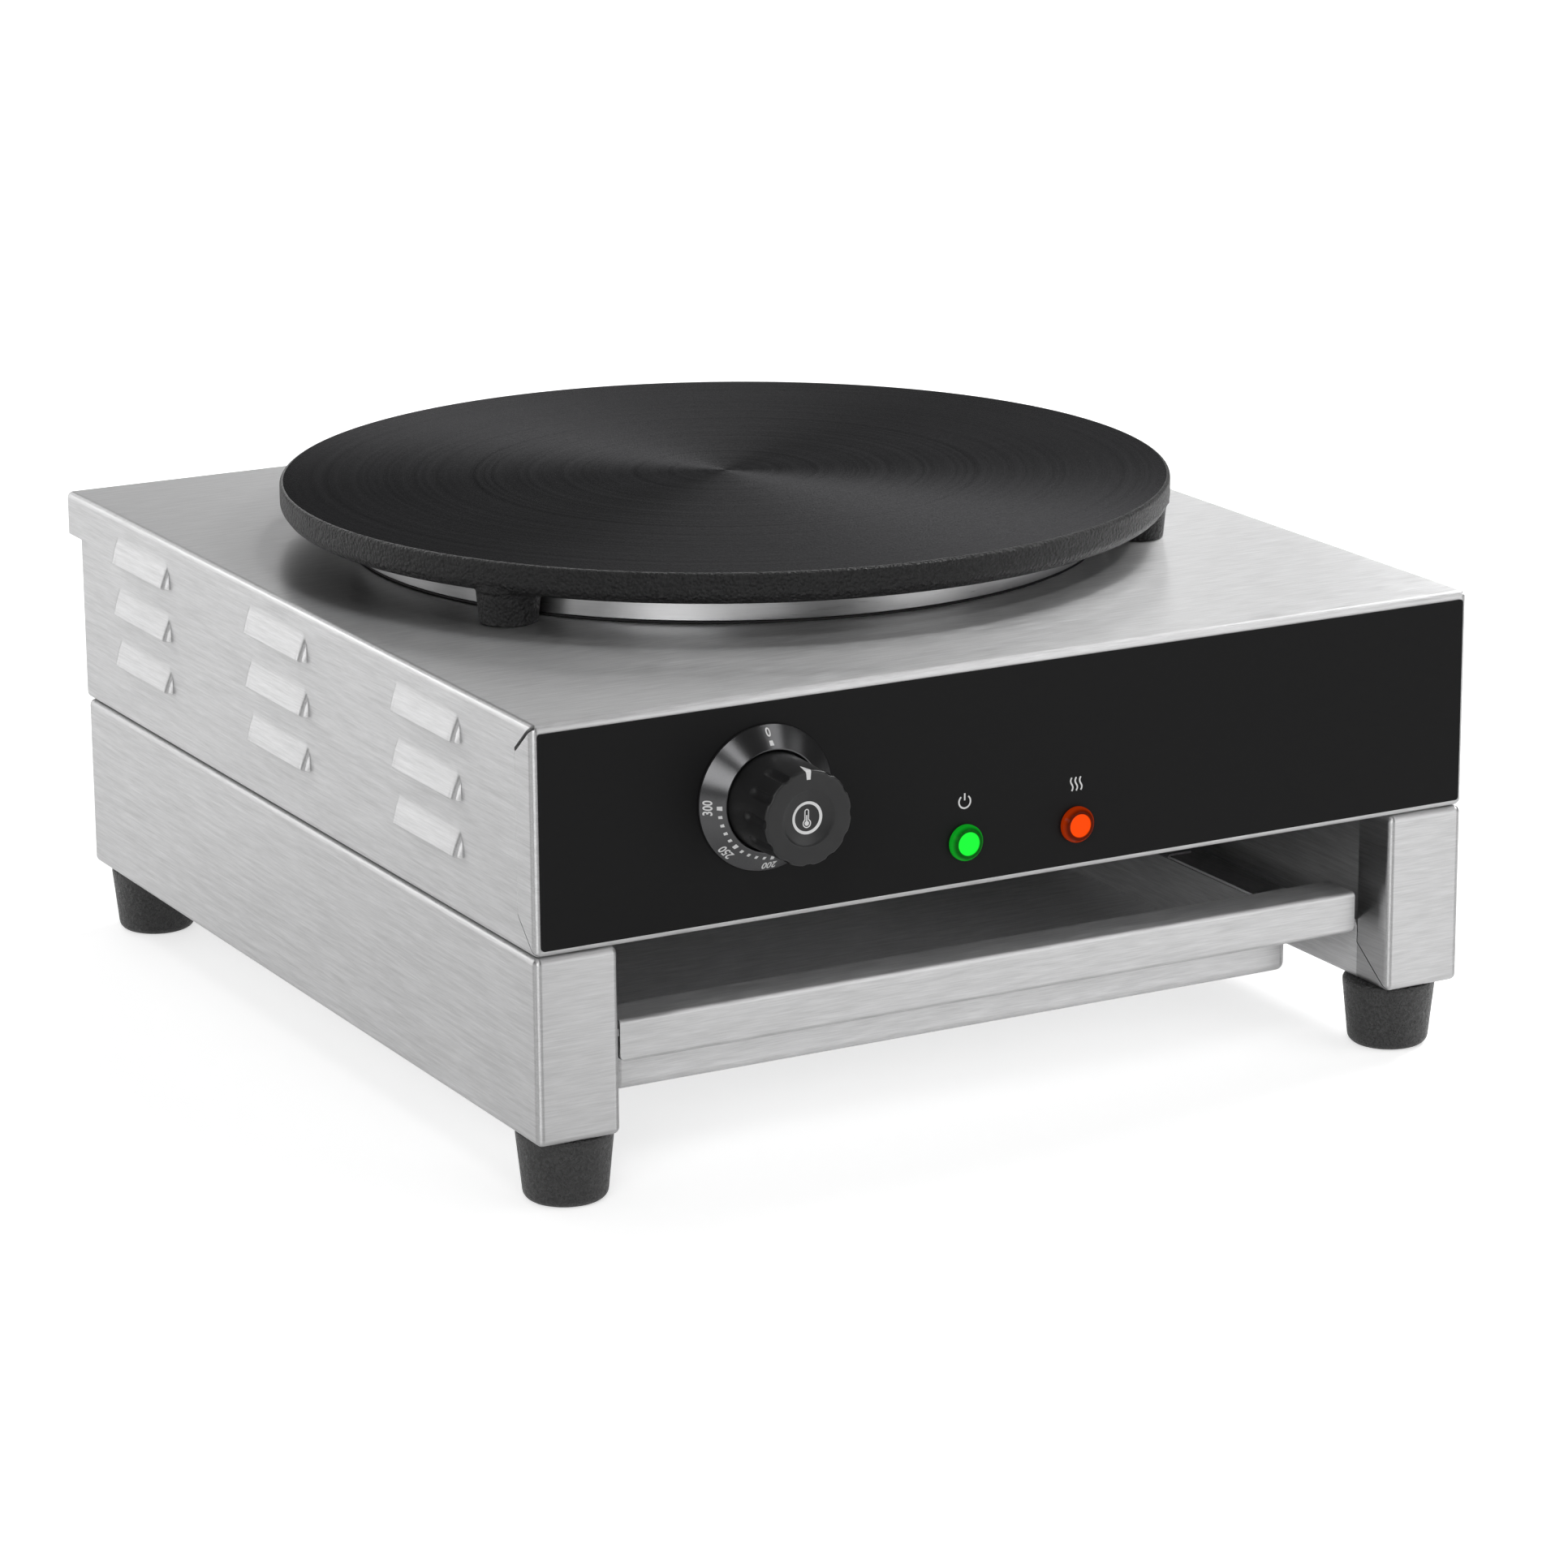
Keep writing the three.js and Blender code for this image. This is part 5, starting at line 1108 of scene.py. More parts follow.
def rail_skin():
    """The folded outside of the right-hand rail with its posts, inner lip and ledge."""
    s = sizes()
    low, high = RIGHT_RAIL
    y0, y1, lip = lip_span()
    ledge = lip - s.sheet
    root = 0.0018  # round at the foot of the ledge
    turn_z = ledge - root

    def keep(axis, far, middle):
        if axis == 0 and not far and y0 < middle.y < y1:
            return middle.z < turn_z
        if axis == 2 and far:
            if y0 < middle.y < y1 and middle.x < RAIL_INNER + 2 * s.sheet:
                return False
            if y0 + s.flange < middle.y < y1 - s.flange and middle.x < high[0] - s.flange:
                return False
        return True

    arc = [(RAIL_INNER - root * (1 - cos), turn_z + root * sin) for sin, cos in quarter(5)]
    arc.append((low[0], ledge))
    front, back = y0 + RAIL_SLIT, y1 - RAIL_SLIT
    extra = [
        ([(xb, front, zb), (xb, back, zb), (xa, back, za), (xa, front, za)], 1)
        for (xa, za), (xb, zb) in zip(arc, arc[1:])
    ]
    across = [RAIL_INNER + 2 * s.sheet, high[0] - s.flange]
    along = [y0, front, back, y1, y0 + s.flange, y1 - s.flange]
    low = (RAIL_INNER, low[1], low[2])
    return box_skin(low, high, s.bend, (across, along, [turn_z]), keep, extra=extra)


def both_hands(name, node_name, mesh, body, finishes, smooth):
    """Puts a right-hand piece of sheet metal in its place, and its mirror image on the left."""
    left = mirrored(mesh)
    placed(name + "_right", mesh, body, "stainless_brushed", finishes, [node_name + "_right"], smooth)
    placed(name + "_left", left, body, "stainless_brushed", finishes, [node_name + "_left"], smooth)


class GRIDDLE_OT_base_frame(bpy.types.Operator):
    """Fold the base frame: two side rails with their posts and ledges, and the rear panel"""

    bl_idname = "griddle.base_frame"
    bl_label = "Base frame"

    def execute(self, context):
        s = sizes()
        steel = [brushed_steel("X"), brushed_steel("Y")]
        low, high = RIGHT_RAIL
        y0, y1, lip = lip_span()
        tools = []
        for start, turn in ((FRONT - RAIL_SLIT, y0), (BACK + RAIL_SLIT, y1)):
            path = [(start, low[2] - RAIL_SLIT), (turn, low[2] + s.post_return * 0.72), (turn, lip + CLEAR)]
            tools.append(slit(path, RAIL_SLIT, RAIL_INNER - CLEAR, RAIL_INNER + s.sheet + 0.0005))
        screw_hole, screw_in, screw_along = 0.0036, 0.022, 0.021  # radius, and place from the rail's corner
        for y in (FRONT + screw_along, BACK - screw_along):
            bore = circle(screw_hole, 24, high[0] - screw_in, y)
            tools.append(prism(bore, "Z", low[2] - CLEAR, low[2] + 0.004))
        rail = cut(thickened(rail_skin(), s.sheet), *tools)
        # The rail's inner faces towards the bay get the lighter inner copy of the steel: painted light in
        # the shaded bay.
        for face in rail.polygons:
            if face.normal.x < -0.5 and y0 < face.center.y < y1:
                face.material_index = 2
        both_hands("rail", "base_rail", rail, "casing", [*steel, brushed_steel("Y", *INNER_PAINTED_LIGHT)], 32)

        low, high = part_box("base_rear_panel")
        path = [(low[1], high[2]), (high[1], high[2]), (high[1], low[2]), (low[1], low[2])]
        panel = prism(folded(path, s.sheet, s.bend), "X", low[0], high[0])
        placed("base_rear", panel, "casing", "stainless_brushed", steel, ["base_rear_panel"])
        return {"FINISHED"}


class GRIDDLE_OT_feet(bpy.types.Operator):
    """Mould the four rubber feet"""

    bl_idname = "griddle.feet"
    bl_label = "Rubber feet"

    def execute(self, context):
        sole = 0.0174
        bore, recess, recess_top = 0.0036, 0.0075, 0.020  # of the screw's hole
        for end in ("front_left", "front_right", "rear_left", "rear_right"):
            low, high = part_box("foot_" + end)
            x, y, _ = middle_of("foot_" + end)
            top, height = (high[0] - low[0]) / 2, high[2] - low[2]
            corners = [
                (recess, 0, 0.0006),
                (sole, 0, 0.004),
                (top - 0.0002, height - 0.0016, 0.0012),
                (top - 0.0004, height, 0.0008),
                (bore, height, 0),
                (bore, recess_top, 0),
                (recess, recess_top, 0),
            ]
            foot = turned(looped(corners, 6), (x, y, low[2]))
            name, finishes = "rubber_foot_" + end, [foot_rubber()]
            placed(name, foot, "casing", "rubber_black", finishes, ["foot_" + end], smooth=40)
        return {"FINISHED"}


# ---------------------------------------------------------------- drip tray


class GRIDDLE_OT_tray(bpy.types.Operator):
    """Fold the drip tray: its front, pan and glides"""

    bl_idname = "griddle.tray"
    bl_label = "Drip tray"

    def execute(self, context):
        sheet, corner, tab = 0.0011, 0.004, 0.007
        steel = [brushed_steel("X"), brushed_steel("Y")]
        (x0, y0, z0), (x1, y1, z1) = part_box("tray_front")
        fold, grip = z0 + tab, y0 + 0.020
        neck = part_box("tray_pan")[1][0] - corner
        path = [(y1 - sheet, z0), (y1 - sheet, fold), (y0, fold), (y0, z1), (grip, z1)]
        front = prism(folded(path, sheet, 0.002, 6), "X", x0, x1)
        ends, tabs = [], []
        for side in (-1, 1):
            outline = [(side * (x1 + CLEAR), fold - CLEAR), (side * (x1 + CLEAR), fold + corner)]
            for sin, cos in quarter(8):
                outline.append((side * (x1 - corner * (1 - cos)), fold + corner * (1 - sin)))
            outline.append((side * (x1 - corner), fold - CLEAR))
            ends.append(prism(outline, "Y", y0 - CLEAR, grip + CLEAR))
            beside = rectangle((side * neck, z0 - CLEAR), (side * (x1 + 2 * CLEAR), fold + tab))
            tabs.append(prism(beside, "Y", grip + CLEAR, y1 + CLEAR))
        front = cut(cut(front, *ends), *tabs)
        placed("tray_face", front, "tray", "stainless_brushed", steel, ["tray_front"], smooth=32)

        low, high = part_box("tray_pan")
        rim = high[2]

        def keep(axis, far, middle):
            return middle.z < rim and not (axis == 2 and far)

        skin = box_skin(low, (high[0], high[1], rim + 0.012), corner, ([], [], [rim]), keep)
        pan = thickened(skin, sheet)
        # The basin gets the lighter inner copy of the steel: painted light in the shaded bay.
        reshaded = [brushed_steel("X", *INNER_PAINTED_LIGHT), brushed_steel("Y", *INNER_PAINTED_LIGHT)]
        placed("tray_basin", pan, "tray", "stainless_brushed", reshaded, ["tray_pan"], smooth=32)

        low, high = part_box("tray_glide_right")
        path = [(low[0], low[2]), (low[0], high[2]), (high[0], high[2])]
        glide = prism(folded(path, sheet, 0.0016), "Y", low[1], high[1])
        notch = low[1] + 0.024
        above = rectangle((low[0] - CLEAR, high[2] - 0.0061), (high[0] + CLEAR, high[2] + CLEAR))
        glide = cut(glide, prism(above, "Y", notch, notch + 0.070))
        both_hands("glide", "tray_glide", glide, "tray", [brushed_steel("Y", 0.85)], 35)
        return {"FINISHED"}


# ---------------------------------------------------------------- plate and skirt


class GRIDDLE_OT_plate(bpy.types.Operator):
    """Turn the cast iron plate with its three legs"""

    bl_idname = "griddle.plate"
    bl_label = "Cast iron plate"

    def execute(self, context):
        s = sizes()
        thickness, bolt_bore = 0.014, 0.0043
        under = PLATE_TOP - thickness
        foot = PLATE_LOW_BOX[2]
        corners = [
            (0, under, 0),
            (PLATE_RADIUS - 0.0028, under, 0.003),
            (PLATE_RADIUS, under + 0.004, 0.004),
            (PLATE_RADIUS, PLATE_TOP, s.plate_edge),
            (0, PLATE_TOP, 0),
        ]
        side = filleted(corners, 6)[:-1]
        face = [Vector((PLATE_RADIUS * share, PLATE_TOP)) for share in (0.75, 0.5, 0.25, 0)]
        marks = [0] * (len(side) - 1) + [1] * len(face)
        plate = turned(side + face, (0, PLATE_Y, 0), segments=256, marks=marks)
        corners = [
            (0, foot, 0),
            (s.leg_foot, foot, 0.0008),
            (s.leg_top - 0.0003, under - 0.0014, 0.003),
            (s.leg_top + 0.0010, under + 0.0004, 0),
            (s.leg_top + 0.0010, under + 0.003, 0),
            (0, under + 0.003, 0),
        ]
        legs = [turned(filleted(corners), (x, y, 0), segments=64) for x, y in leg_places()]
        bores = [(x, y, foot, 0.013) for x, y in leg_places()] + [(0, PLATE_Y, under, 0.007)]
        tools = [prism(circle(bolt_bore, 24, x, y), "Z", z - CLEAR, z + deep) for x, y, z, deep in bores]
        disc = cut(united(plate, *legs), *tools)
        irons = [rough_iron(), turned_iron()]
        placed("griddle_disc", disc, "casing", "cast_iron_seasoned", irons, ["griddle_plate"], smooth=40)
        return {"FINISHED"}


class GRIDDLE_OT_skirt(bpy.types.Operator):
    """Roll the steel skirt under the plate, with its seal"""

    bl_idname = "griddle.skirt"
    bl_label = "Skirt and seal"

    def execute(self, context):
        seal_rubber = moulding("Seal rubber", 0.6, 0.7)
        for name, node_name, wall, segments, slot, finish in (
            ("skirt_band", "skirt_ring", 0.0012, 256, "stainless_brushed", ring_steel()),
            ("skirt_gasket", "skirt_seal", 0.0035, 192, "rubber_black", seal_rubber),
        ):
            low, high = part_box(node_name)
            outer = (high[0] - low[0]) / 2
            inner = outer - wall
            corners = [
                (inner, low[2], 0.0003),
                (outer, low[2], 0.0004),
                (outer, high[2], 0.0004),
                (inner, high[2], 0.0003),
            ]
            ring = turned(looped(corners, 3), (0, PLATE_Y, 0), segments=segments)
            placed(name, ring, "casing", slot, [finish], [node_name])
        return {"FINISHED"}


# ---------------------------------------------------------------- controls


class GRIDDLE_OT_panel_film(bpy.types.Operator):
    """Lay the black control film on the front, with the two lamp symbols"""

    bl_idname = "griddle.panel_film"
    bl_label = "Control film"

    def execute(self, context):
        low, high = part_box("control_overlay")
        film = prism(rectangle((low[0], low[2]), (high[0], high[2]), 0.0015, 6), "Y", low[1], high[1])
        film = bevelled(cut(film, *front_holes(low[1] - CLEAR, high[1] + 0.0002)), 0.00012)
        placed("control_film", film, "casing", "overlay_film", [panel_film()], ["control_overlay"])

        def on_film(a, b, lift):
            return (a, low[1] - lift, b)

        symbol_up, line = 0.0173, 0.0007  # height of a symbol over its lamp, and width of its lines
        x, z = lamp_places()["green"]
        z += symbol_up
        power = annulus(0.0031, 0.0024, 48, x, z, math.radians(38), math.radians(284))
        power += stroke([(x, z + 0.0006), (x, z + 0.0036)], line)
        x, z = lamp_places()["red"]
        z += symbol_up - 0.0028
        heat = []
        for side in (-1, 0, 1):
            waves = [(0.00055 * math.sin(2 * math.pi * k / 16), 0.0058 * k / 16) for k in range(17)]
            heat += stroke([(x + side * 0.0022 + across, z + up) for across, up in waves], line)
        for name, art in (("symbol_power", power), ("symbol_heat", heat)):
            placed(name, printed(art, on_film), "casing", "overlay_film", [print_white()])
        return {"FINISHED"}


def dial_height(radius):
    """Height of the dial's cone above its seat."""
    return DIAL_RIM + (DIAL_TOP - DIAL_RIM) * (DIAL_OUTER - radius) / (DIAL_OUTER - DIAL_INNER)


class GRIDDLE_OT_dial(bpy.types.Operator):
    """Turn the dial ring and print its numbers and marks"""

    bl_idname = "griddle.dial"
    bl_label = "Dial ring"

    def execute(self, context):
        bore, floor = 0.0056, 0.0016  # of the hollow under the knob
        corners = [
            (bore, 0, 0),
            (DIAL_OUTER, 0, 0.0001),
            (DIAL_OUTER, DIAL_RIM, 0.0003),
            (DIAL_INNER, DIAL_TOP, 0.0005),
            (0.0213, DIAL_TOP, 0.0002),
            (0.0211, floor, 0.0003),
            (bore, floor, 0),
        ]
        profile = looped(corners, 4)
        steps = zip(profile, profile[1:])
        marks = [int(min(a.x, b.x) > 0.0214 and min(a.y, b.y) > 0.0010) for a, b in steps]  # 1 on the cone
        ring = turned(profile, (KNOB_X, DIAL_SEAT, KNOB_Z), "FRONT", 160, marks=marks)
        finishes = [moulding("Dial rim", 0.8, 0.5), dial_satin()]
        placed("dial_face", ring, "casing", "dial_satin", finishes, ["dial_ring"], smooth=30)

        def on_cone(a, b, lift):
            radius = max(0.0215, min(0.0303, math.hypot(a, b)))
            return (KNOB_X + a, DIAL_SEAT - dial_height(radius) - lift, KNOB_Z + b)

        number_at, number_height, tick_at = 0.0279, 0.0033, 0.0240
        art = []
        for text, degrees in (("0", 0), ("200", 180), ("250", 225), ("300", 270)):
            art += moved(numerals(text, number_height), number_at, math.radians(degrees))
        for degrees in (0, *range(180, 271, 9)):
            half = 0.0009 if degrees in (0, 180, 225, 270) else 0.00066
            tick = [(-half, -half), (half, -half), (half * 0.85, half), (-half * 0.85, half)]
            art += moved([tick], tick_at, math.radians(degrees))
        placed("dial_print", printed(art, on_cone), "casing", "dial_satin", [print_white()])
        return {"FINISHED"}


def knob_reach():
    """How far the knob's face stands in front of the dial's seat, under its printing."""
    return DIAL_SEAT - KNOB_FACE - sizes().print_lift - 0.00002


def knob_side(share):
    """Radius of the knob's side at this share of the way to its face."""
    return KNOB_WIDE + (KNOB_NARROW - KNOB_WIDE) * share


def knob_edge():
    """The round edge of the knob's face as [radius, reach], from its side to its face."""
    start = knob_reach() - KNOB_EDGE
    return [(KNOB_NARROW - KNOB_EDGE * (1 - cos), start + KNOB_EDGE * sin) for sin, cos in quarter(5, 1)]


def knob_profile():
    """The knob's side, edge and dished face as [radius, reach, how much it follows the flutes]."""
    s = sizes()
    reach = knob_reach()
    start = DIAL_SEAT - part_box("knob")[1][1]
    foot = start + 0.0007
    rows = [(0.0, start, 0.0), (KNOB_WIDE - 0.0008, start, 0.0), (KNOB_WIDE - 0.0002, start + 0.0002, 0.0)]
    for share in [k / 30 for k in range(31)]:
        rows.append((knob_side(share), foot + (reach - KNOB_EDGE - foot) * share, 1.0))
    rows += [(radius, height, 1.0) for radius, height in knob_edge()]
    for share, follow in ((0.15, 0.75), (0.35, 0.45), (0.6, 0.2), (0.85, 0.0)):
        rows.append((KNOB_NARROW - KNOB_EDGE - 0.0055 * share, reach, follow))
    lip = 0.0007
    for sin, cos in quarter(3):
        rows.append((s.dish_radius + lip * (1 - sin), reach - lip * 0.25 * (1 - cos), 0.0))
    for radius in [s.dish_radius * (1 - k / 12) for k in range(1, 13)]:
        rows.append((radius, dish_reach(radius), 0.0))
    return rows


def dish_reach(radius):
    """How far the knob's hollowed face stands in front of the dial's seat."""
    s = sizes()
    share = min(1.0, radius / s.dish_radius)
    return knob_reach() - DISH_STEP - (s.dish_depth - DISH_STEP) * (1 - share**2.2)


def flute_depth(turn, back):
    """Depth of the flutes at a place on the knob's side: its turn and its distance behind the face."""
    s = sizes()
    step = math.pi / 6
    nearest = round(turn / step)
    if nearest % 12 == 0:
        return 0.0
    across = abs(turn - nearest * step) * 0.0202
    half = s.flute_width / 2
    past = max(0.0, back - (s.flute_length - half))
    away = math.hypot(across, past)
    if away >= half:
        return 0.0
    fade = 0.3 + 0.7 * min(1.0, max(0.0, back) / 0.003)
    return s.flute_depth * fade * (1 - (away / half) ** 2) ** 0.8


def pointer_path():
    """The pointer's middle line along the knob's side, edge and face, as [radius, reach, half width]."""
    reach = knob_reach()
    path = []
    for share in [k / 8 for k in range(9)]:
        height = reach - KNOB_EDGE - 0.0058 * (1 - share)
        path.append((knob_side(height / reach), height, 0.0001 + 0.0013 * share))
    path += [(r, h, 0.0014 - 0.00035 * k / 5) for k, (r, h) in enumerate(knob_edge(), 1)]
    for share in [k / 4 for k in range(1, 5)]:
        path.append((KNOB_NARROW - KNOB_EDGE - 0.0026 * share, reach, 0.00105 - 0.0002 * share))
    return path


def pointer_strip(path, columns=5):
    """The pointer's thin closed mesh, laid round the knob along its middle line."""
    last = len(path) - 1
    points, faces = [], []
    for lift in (sizes().print_lift, -0.00004):
        for i, (radius, height, half) in enumerate(path):
            before, after = path[max(i - 1, 0)], path[min(i + 1, last)]
            normal = Vector((after[1] - before[1], before[0] - after[0])).normalized()
            real = radius + normal.x * lift
            for c in range(columns):
                x = half * (2 * c / (columns - 1) - 1)
                up = math.sqrt(max(real * real - x * x, 0.0))
                points.append((KNOB_X + x, DIAL_SEAT - height - normal.y * lift, KNOB_Z + up))

    def between(*corners):
        faces.append([(layer * (last + 1) + i) * columns + c for layer, i, c in corners])

    for c in range(columns - 1):
        for i in range(last):
            for layer in (0, 1):
                between((layer, i, c), (layer, i, c + 1), (layer, i + 1, c + 1), (layer, i + 1, c))
        for i in (0, last):
            between((0, i, c), (0, i, c + 1), (1, i, c + 1), (1, i, c))
    for i in range(last):
        for c in (0, columns - 1):
            between((0, i, c), (0, i + 1, c), (1, i + 1, c), (1, i, c))
    return faced_out(mesh_of(points, faces, weld=FINE_WELD))


class GRIDDLE_OT_knob(bpy.types.Operator):
    """Mould the fluted thermostat knob, with its pointer and badge"""

    bl_idname = "griddle.knob"
    bl_label = "Thermostat knob"

    def execute(self, context):
        reach = knob_reach()
        rows = knob_profile()
        follow = {(round(r, 7), round(h, 7)): f for r, h, f in rows}

        def fluted(radius, height, turn):
            share = follow[(round(radius, 7), round(height, 7))]
            return radius - share * flute_depth(turn, reach - height)

        knob = turned([(r, h) for r, h, _ in rows], (KNOB_X, DIAL_SEAT, KNOB_Z), "FRONT", 480, fluted)
        finishes = [moulding("Knob plastic", 0.9, 0.36)]
        placed("control_knob", knob, "knob", "knob_plastic", finishes, ["knob"], smooth=50)
        placed("knob_pointer", pointer_strip(pointer_path()), "knob", "knob_plastic", [print_white()])

        def on_dish(a, b, lift):
            return (KNOB_X + a, DIAL_SEAT - dish_reach(math.hypot(a, b)) - lift, KNOB_Z + b)

        tube, bulb, wall, bulb_at = 0.00105, 0.0019, 0.00045, -0.0024

        def thermometer(inset):
            half, ball = tube - inset, bulb - inset
            top = 0.0036 - inset - half
            join = math.asin(half / ball)
            turns = [math.pi * k / 12 for k in range(13)]
            loop = [(half * math.cos(t), top + half * math.sin(t)) for t in turns]
            for k in range(29):
                t = math.pi / 2 + join + (2 * math.pi - 2 * join) * k / 28
                loop.append((ball * math.cos(t), bulb_at + ball * math.sin(t)))
            return loop

        art = annulus(0.0068, 0.0056, 96)
        art += filled(thermometer(0.0), thermometer(wall)[::-1])
        art += annulus(bulb - 2 * wall, 0.00001, 20, 0, bulb_at)
        art += stroke([(0, bulb_at), (0, 0.0010)], 0.0005)
        placed("knob_badge", printed(art, on_dish), "knob", "knob_plastic", [print_white()])
        return {"FINISHED"}


class GRIDDLE_OT_lamps(bpy.types.Operator):
    """Mould the green and red pilot lamps"""

    bl_idname = "griddle.lamps"
    bl_label = "Pilot lamps"

    def execute(self, context):
        neck, rim, deep, top = 0.0044, 0.0077, 0.007, 0.0036
        corners = [
            (0, -deep, 0),
            (neck, -deep, 0.0003),
            (neck, 0, 0),
            (rim, 0, 0.0002),
            (rim, 0.0017, 0.0007),
            (0.0061, top, 0.0007),
            (0.0051, top, 0.0003),
            (0.0047, 0.0030, 0.0003),
            (0, 0.0032, 0),
        ]
        for which, (x, z) in lamp_places().items():
            lens = turned(filleted(corners, closed=False), (x, DIAL_SEAT, z), "FRONT")
            name, node_name = "pilot_lamp_" + which, "lamp_lens_" + which
            placed(name, lens, "casing", "lens_" + which, [lamp_lens(which)], [node_name], smooth=40)
        return {"FINISHED"}


# ---------------------------------------------------------------- back and supply


def divided(profile, longest):
    """A profile with its long stretches divided."""
    made = [profile[0]]
    for a, b in zip(profile, profile[1:]):
        parts = max(1, math.ceil((b - a).length / longest))
        made += [a.lerp(b, k / parts) for k in range(1, parts + 1)]
    return made


class GRIDDLE_OT_back(bpy.types.Operator):
    """Cut the back panel with its vents and fit the cable gland"""

    bl_idname = "griddle.back"
    bl_label = "Back panel and gland"

    def execute(self, context):
        low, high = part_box("back_panel")
        panel = prism(rectangle((low[0], low[2]), (high[0], high[2]), 0.0018, 4), "Y", low[1], high[1])
        half, end = 0.023, 0.0018  # half a vent's length and half its height
        first_row = COVER_TOP - sizes().rear_lip - 0.012
        openings = []
        for x in (-0.062, 0.002):
            for z in [first_row - row * 0.009 for row in range(4)]:
                openings.append(rectangle((x - half, z - end), (x + half, z + end), end * 0.98, 6))
        bores = [("cable_gland", 0.0101, 32), ("earth_stud", 0.0033, 24)]
        bores += [("back_screw_" + str(i), 0.0024, 16) for i in range(1, 5)]
        for node_name, radius, segments in bores:
            x, _, z = middle_of(node_name)
            openings.append(circle(radius, segments, x, z))
        tools = [prism(opening, "Y", low[1] - CLEAR, high[1] + CLEAR) for opening in openings]
        panel = bevelled(cut(panel, *tools), 0.00015)
        placed("rear_panel", panel, "casing", "sheet_inner", [brushed_steel("X", 0.85)], ["back_panel"])

        seat = high[1]
        gx, _, gz = middle_of("cable_gland")
        across, bore, barrel_radius = 0.01385, 0.0050, 0.0098
        turns = [math.pi / 3 * k for k in range(6)]
        hexagon = [Vector((gx + across * math.sin(t), gz + across * math.cos(t))) for t in turns]
        nut = bevelled(prism(hexagon, "Y", seat + 0.0003, seat + 0.0063), 0.0006, 3, 30)
        corners = [
            (bore, 0.014, 0),
            (barrel_radius, 0.014, 0.0006),
            (barrel_radius, -0.0140, 0.0016),
            (0.0076, -0.0169, 0.0010),
            (bore, -0.0169, 0.0006),
        ]

        def ribbed(radius, height, turn):
            grip = 1.0 if -0.0145 < height < -0.0075 and radius > 0.0095 else 0.0
            return radius - grip * 0.0005 * (0.5 + 0.5 * math.cos(24 * turn))

        barrel = turned(divided(looped(corners, 5), 0.0008), (gx, seat, gz), "FRONT", 192, ribbed)
        gland = cut(united(nut, barrel), prism(circle(bore, 48, gx, gz), "Y", seat - 0.02, seat + 0.02))
        finishes = [moulding("Gland plastic", 1.1, 0.5)]
        placed("cord_gland", gland, "casing", "black_plastic", finishes, ["cable_gland"], smooth=32)
        return {"FINISHED"}


class GRIDDLE_OT_inner_parts(bpy.types.Operator):
    """Give the parts inside the housing and the fixings their finishes"""

    bl_idname = "griddle.inner_parts"
    bl_label = "Inner parts and fixings"

    def execute(self, context):
        # The sheets inside and under the housing get the lighter inner copy of the steel: painted light
        # where they lie in shade.
        inner = brushed_steel("X", *INNER_PAINTED_LIGHT)
        ceramic = matte("White ceramic", "ceramic", 0.00003, 2500.0)
        black = moulding("Black plastic", 1.1, 0.5)
        brass = plated("Brass fixings", "brass", 0.32)
        zinc = plated("Zinc fixings", "zinc", 0.35)
        finishes = {
            "housing_floor": inner,
            "heat_shield": inner,
            "thermostat_bracket": inner,
            "element_clamp_plate": inner,
            "insulation_disc": matte("Mineral wool", "wool", 0.0012, 420.0),
            "heating_element_outer": sheathed(),
            "heating_element_inner": sheathed(),
            "thermostat_body": black,
            "thermostat_capillary": plated("Copper tube", "copper", 0.35),
            "safety_cutout": ceramic,
            "terminal_block": ceramic,
            "gland_locknut": black,
            "lamp_body_green": black,
            "lamp_body_red": black,
            "lamp_nut_green": black,
            "lamp_nut_red": black,
            "earth_stud": brass,
            "earth_nut": brass,
        }
        for wire, tone, shade in (
            ("wire_live", "brown", (0.11, 0.045, 0.02)),
            ("wire_element", "black", (0.012, 0.012, 0.012)),
            ("wire_neutral", "blue", (0.02, 0.10, 0.45)),
            ("wire_lamps", "grey", (0.25, 0.25, 0.25)),
        ):
            finishes[wire] = matte("Wire " + tone, shade, 0.0001, 900.0)
        for name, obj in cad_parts.items():
            if not obj.hide_render:
                obj.data.materials.clear()
                obj.data.materials.append(finishes.get(name, zinc))
        return {"FINISHED"}


# ---------------------------------------------------------------- stage


def bare_tree(owner):
    """The emptied node tree of a material or of the world."""
    owner.use_nodes = True
    owner.node_tree.nodes.clear()
    return owner.node_tree


def pale_floor():
    """Matte floor that lightens with distance for the camera, and glows a little in what mirrors it."""
    material = bpy.data.materials.new("Pale floor")
    tree = bare_tree(material)
    path = node(tree, "LightPath").outputs
    reach = vectors(tree, "LENGTH", node(tree, "TexCoord").outputs["Object"])
    far = spread(tree, reach, 0.5, 2.6, 0.62, 1.0, interpolation_type="SMOOTHSTEP")
    seen = maths(tree, "MULTIPLY", path["Is Camera Ray"], far)
    reflected = maths(tree, "MULTIPLY", path["Is Glossy Ray"], 0.25)
    glow = node(tree, "Emission", {0: (1, 1, 1, 1), 1: maths(tree, "ADD", seen, reflected)})
    matt = node(tree, "BsdfDiffuse", {0: (*colours().floor, 1)})
    both = node(tree, "AddShader", {0: matt.outputs[0], 1: glow.outputs[0]})
    node(tree, "OutputMaterial", {0: both.outputs[0]})
    return material


def studio_world():
    """World that is white for the camera and dim for everything else."""
    world = bpy.data.worlds.new("Studio")
    tree = bare_tree(world)
    around = node(tree, "Background", {0: (1, 1, 1, 1), 1: 0.12}).outputs[0]
    seen = node(tree, "Background", {0: (1, 1, 1, 1), 1: 1.0}).outputs[0]
    camera_ray = node(tree, "LightPath").outputs["Is Camera Ray"]
    choice = node(tree, "MixShader", {0: camera_ray, 1: around, 2: seen})
    node(tree, "OutputWorld", {0: choice.outputs[0]})
    return world


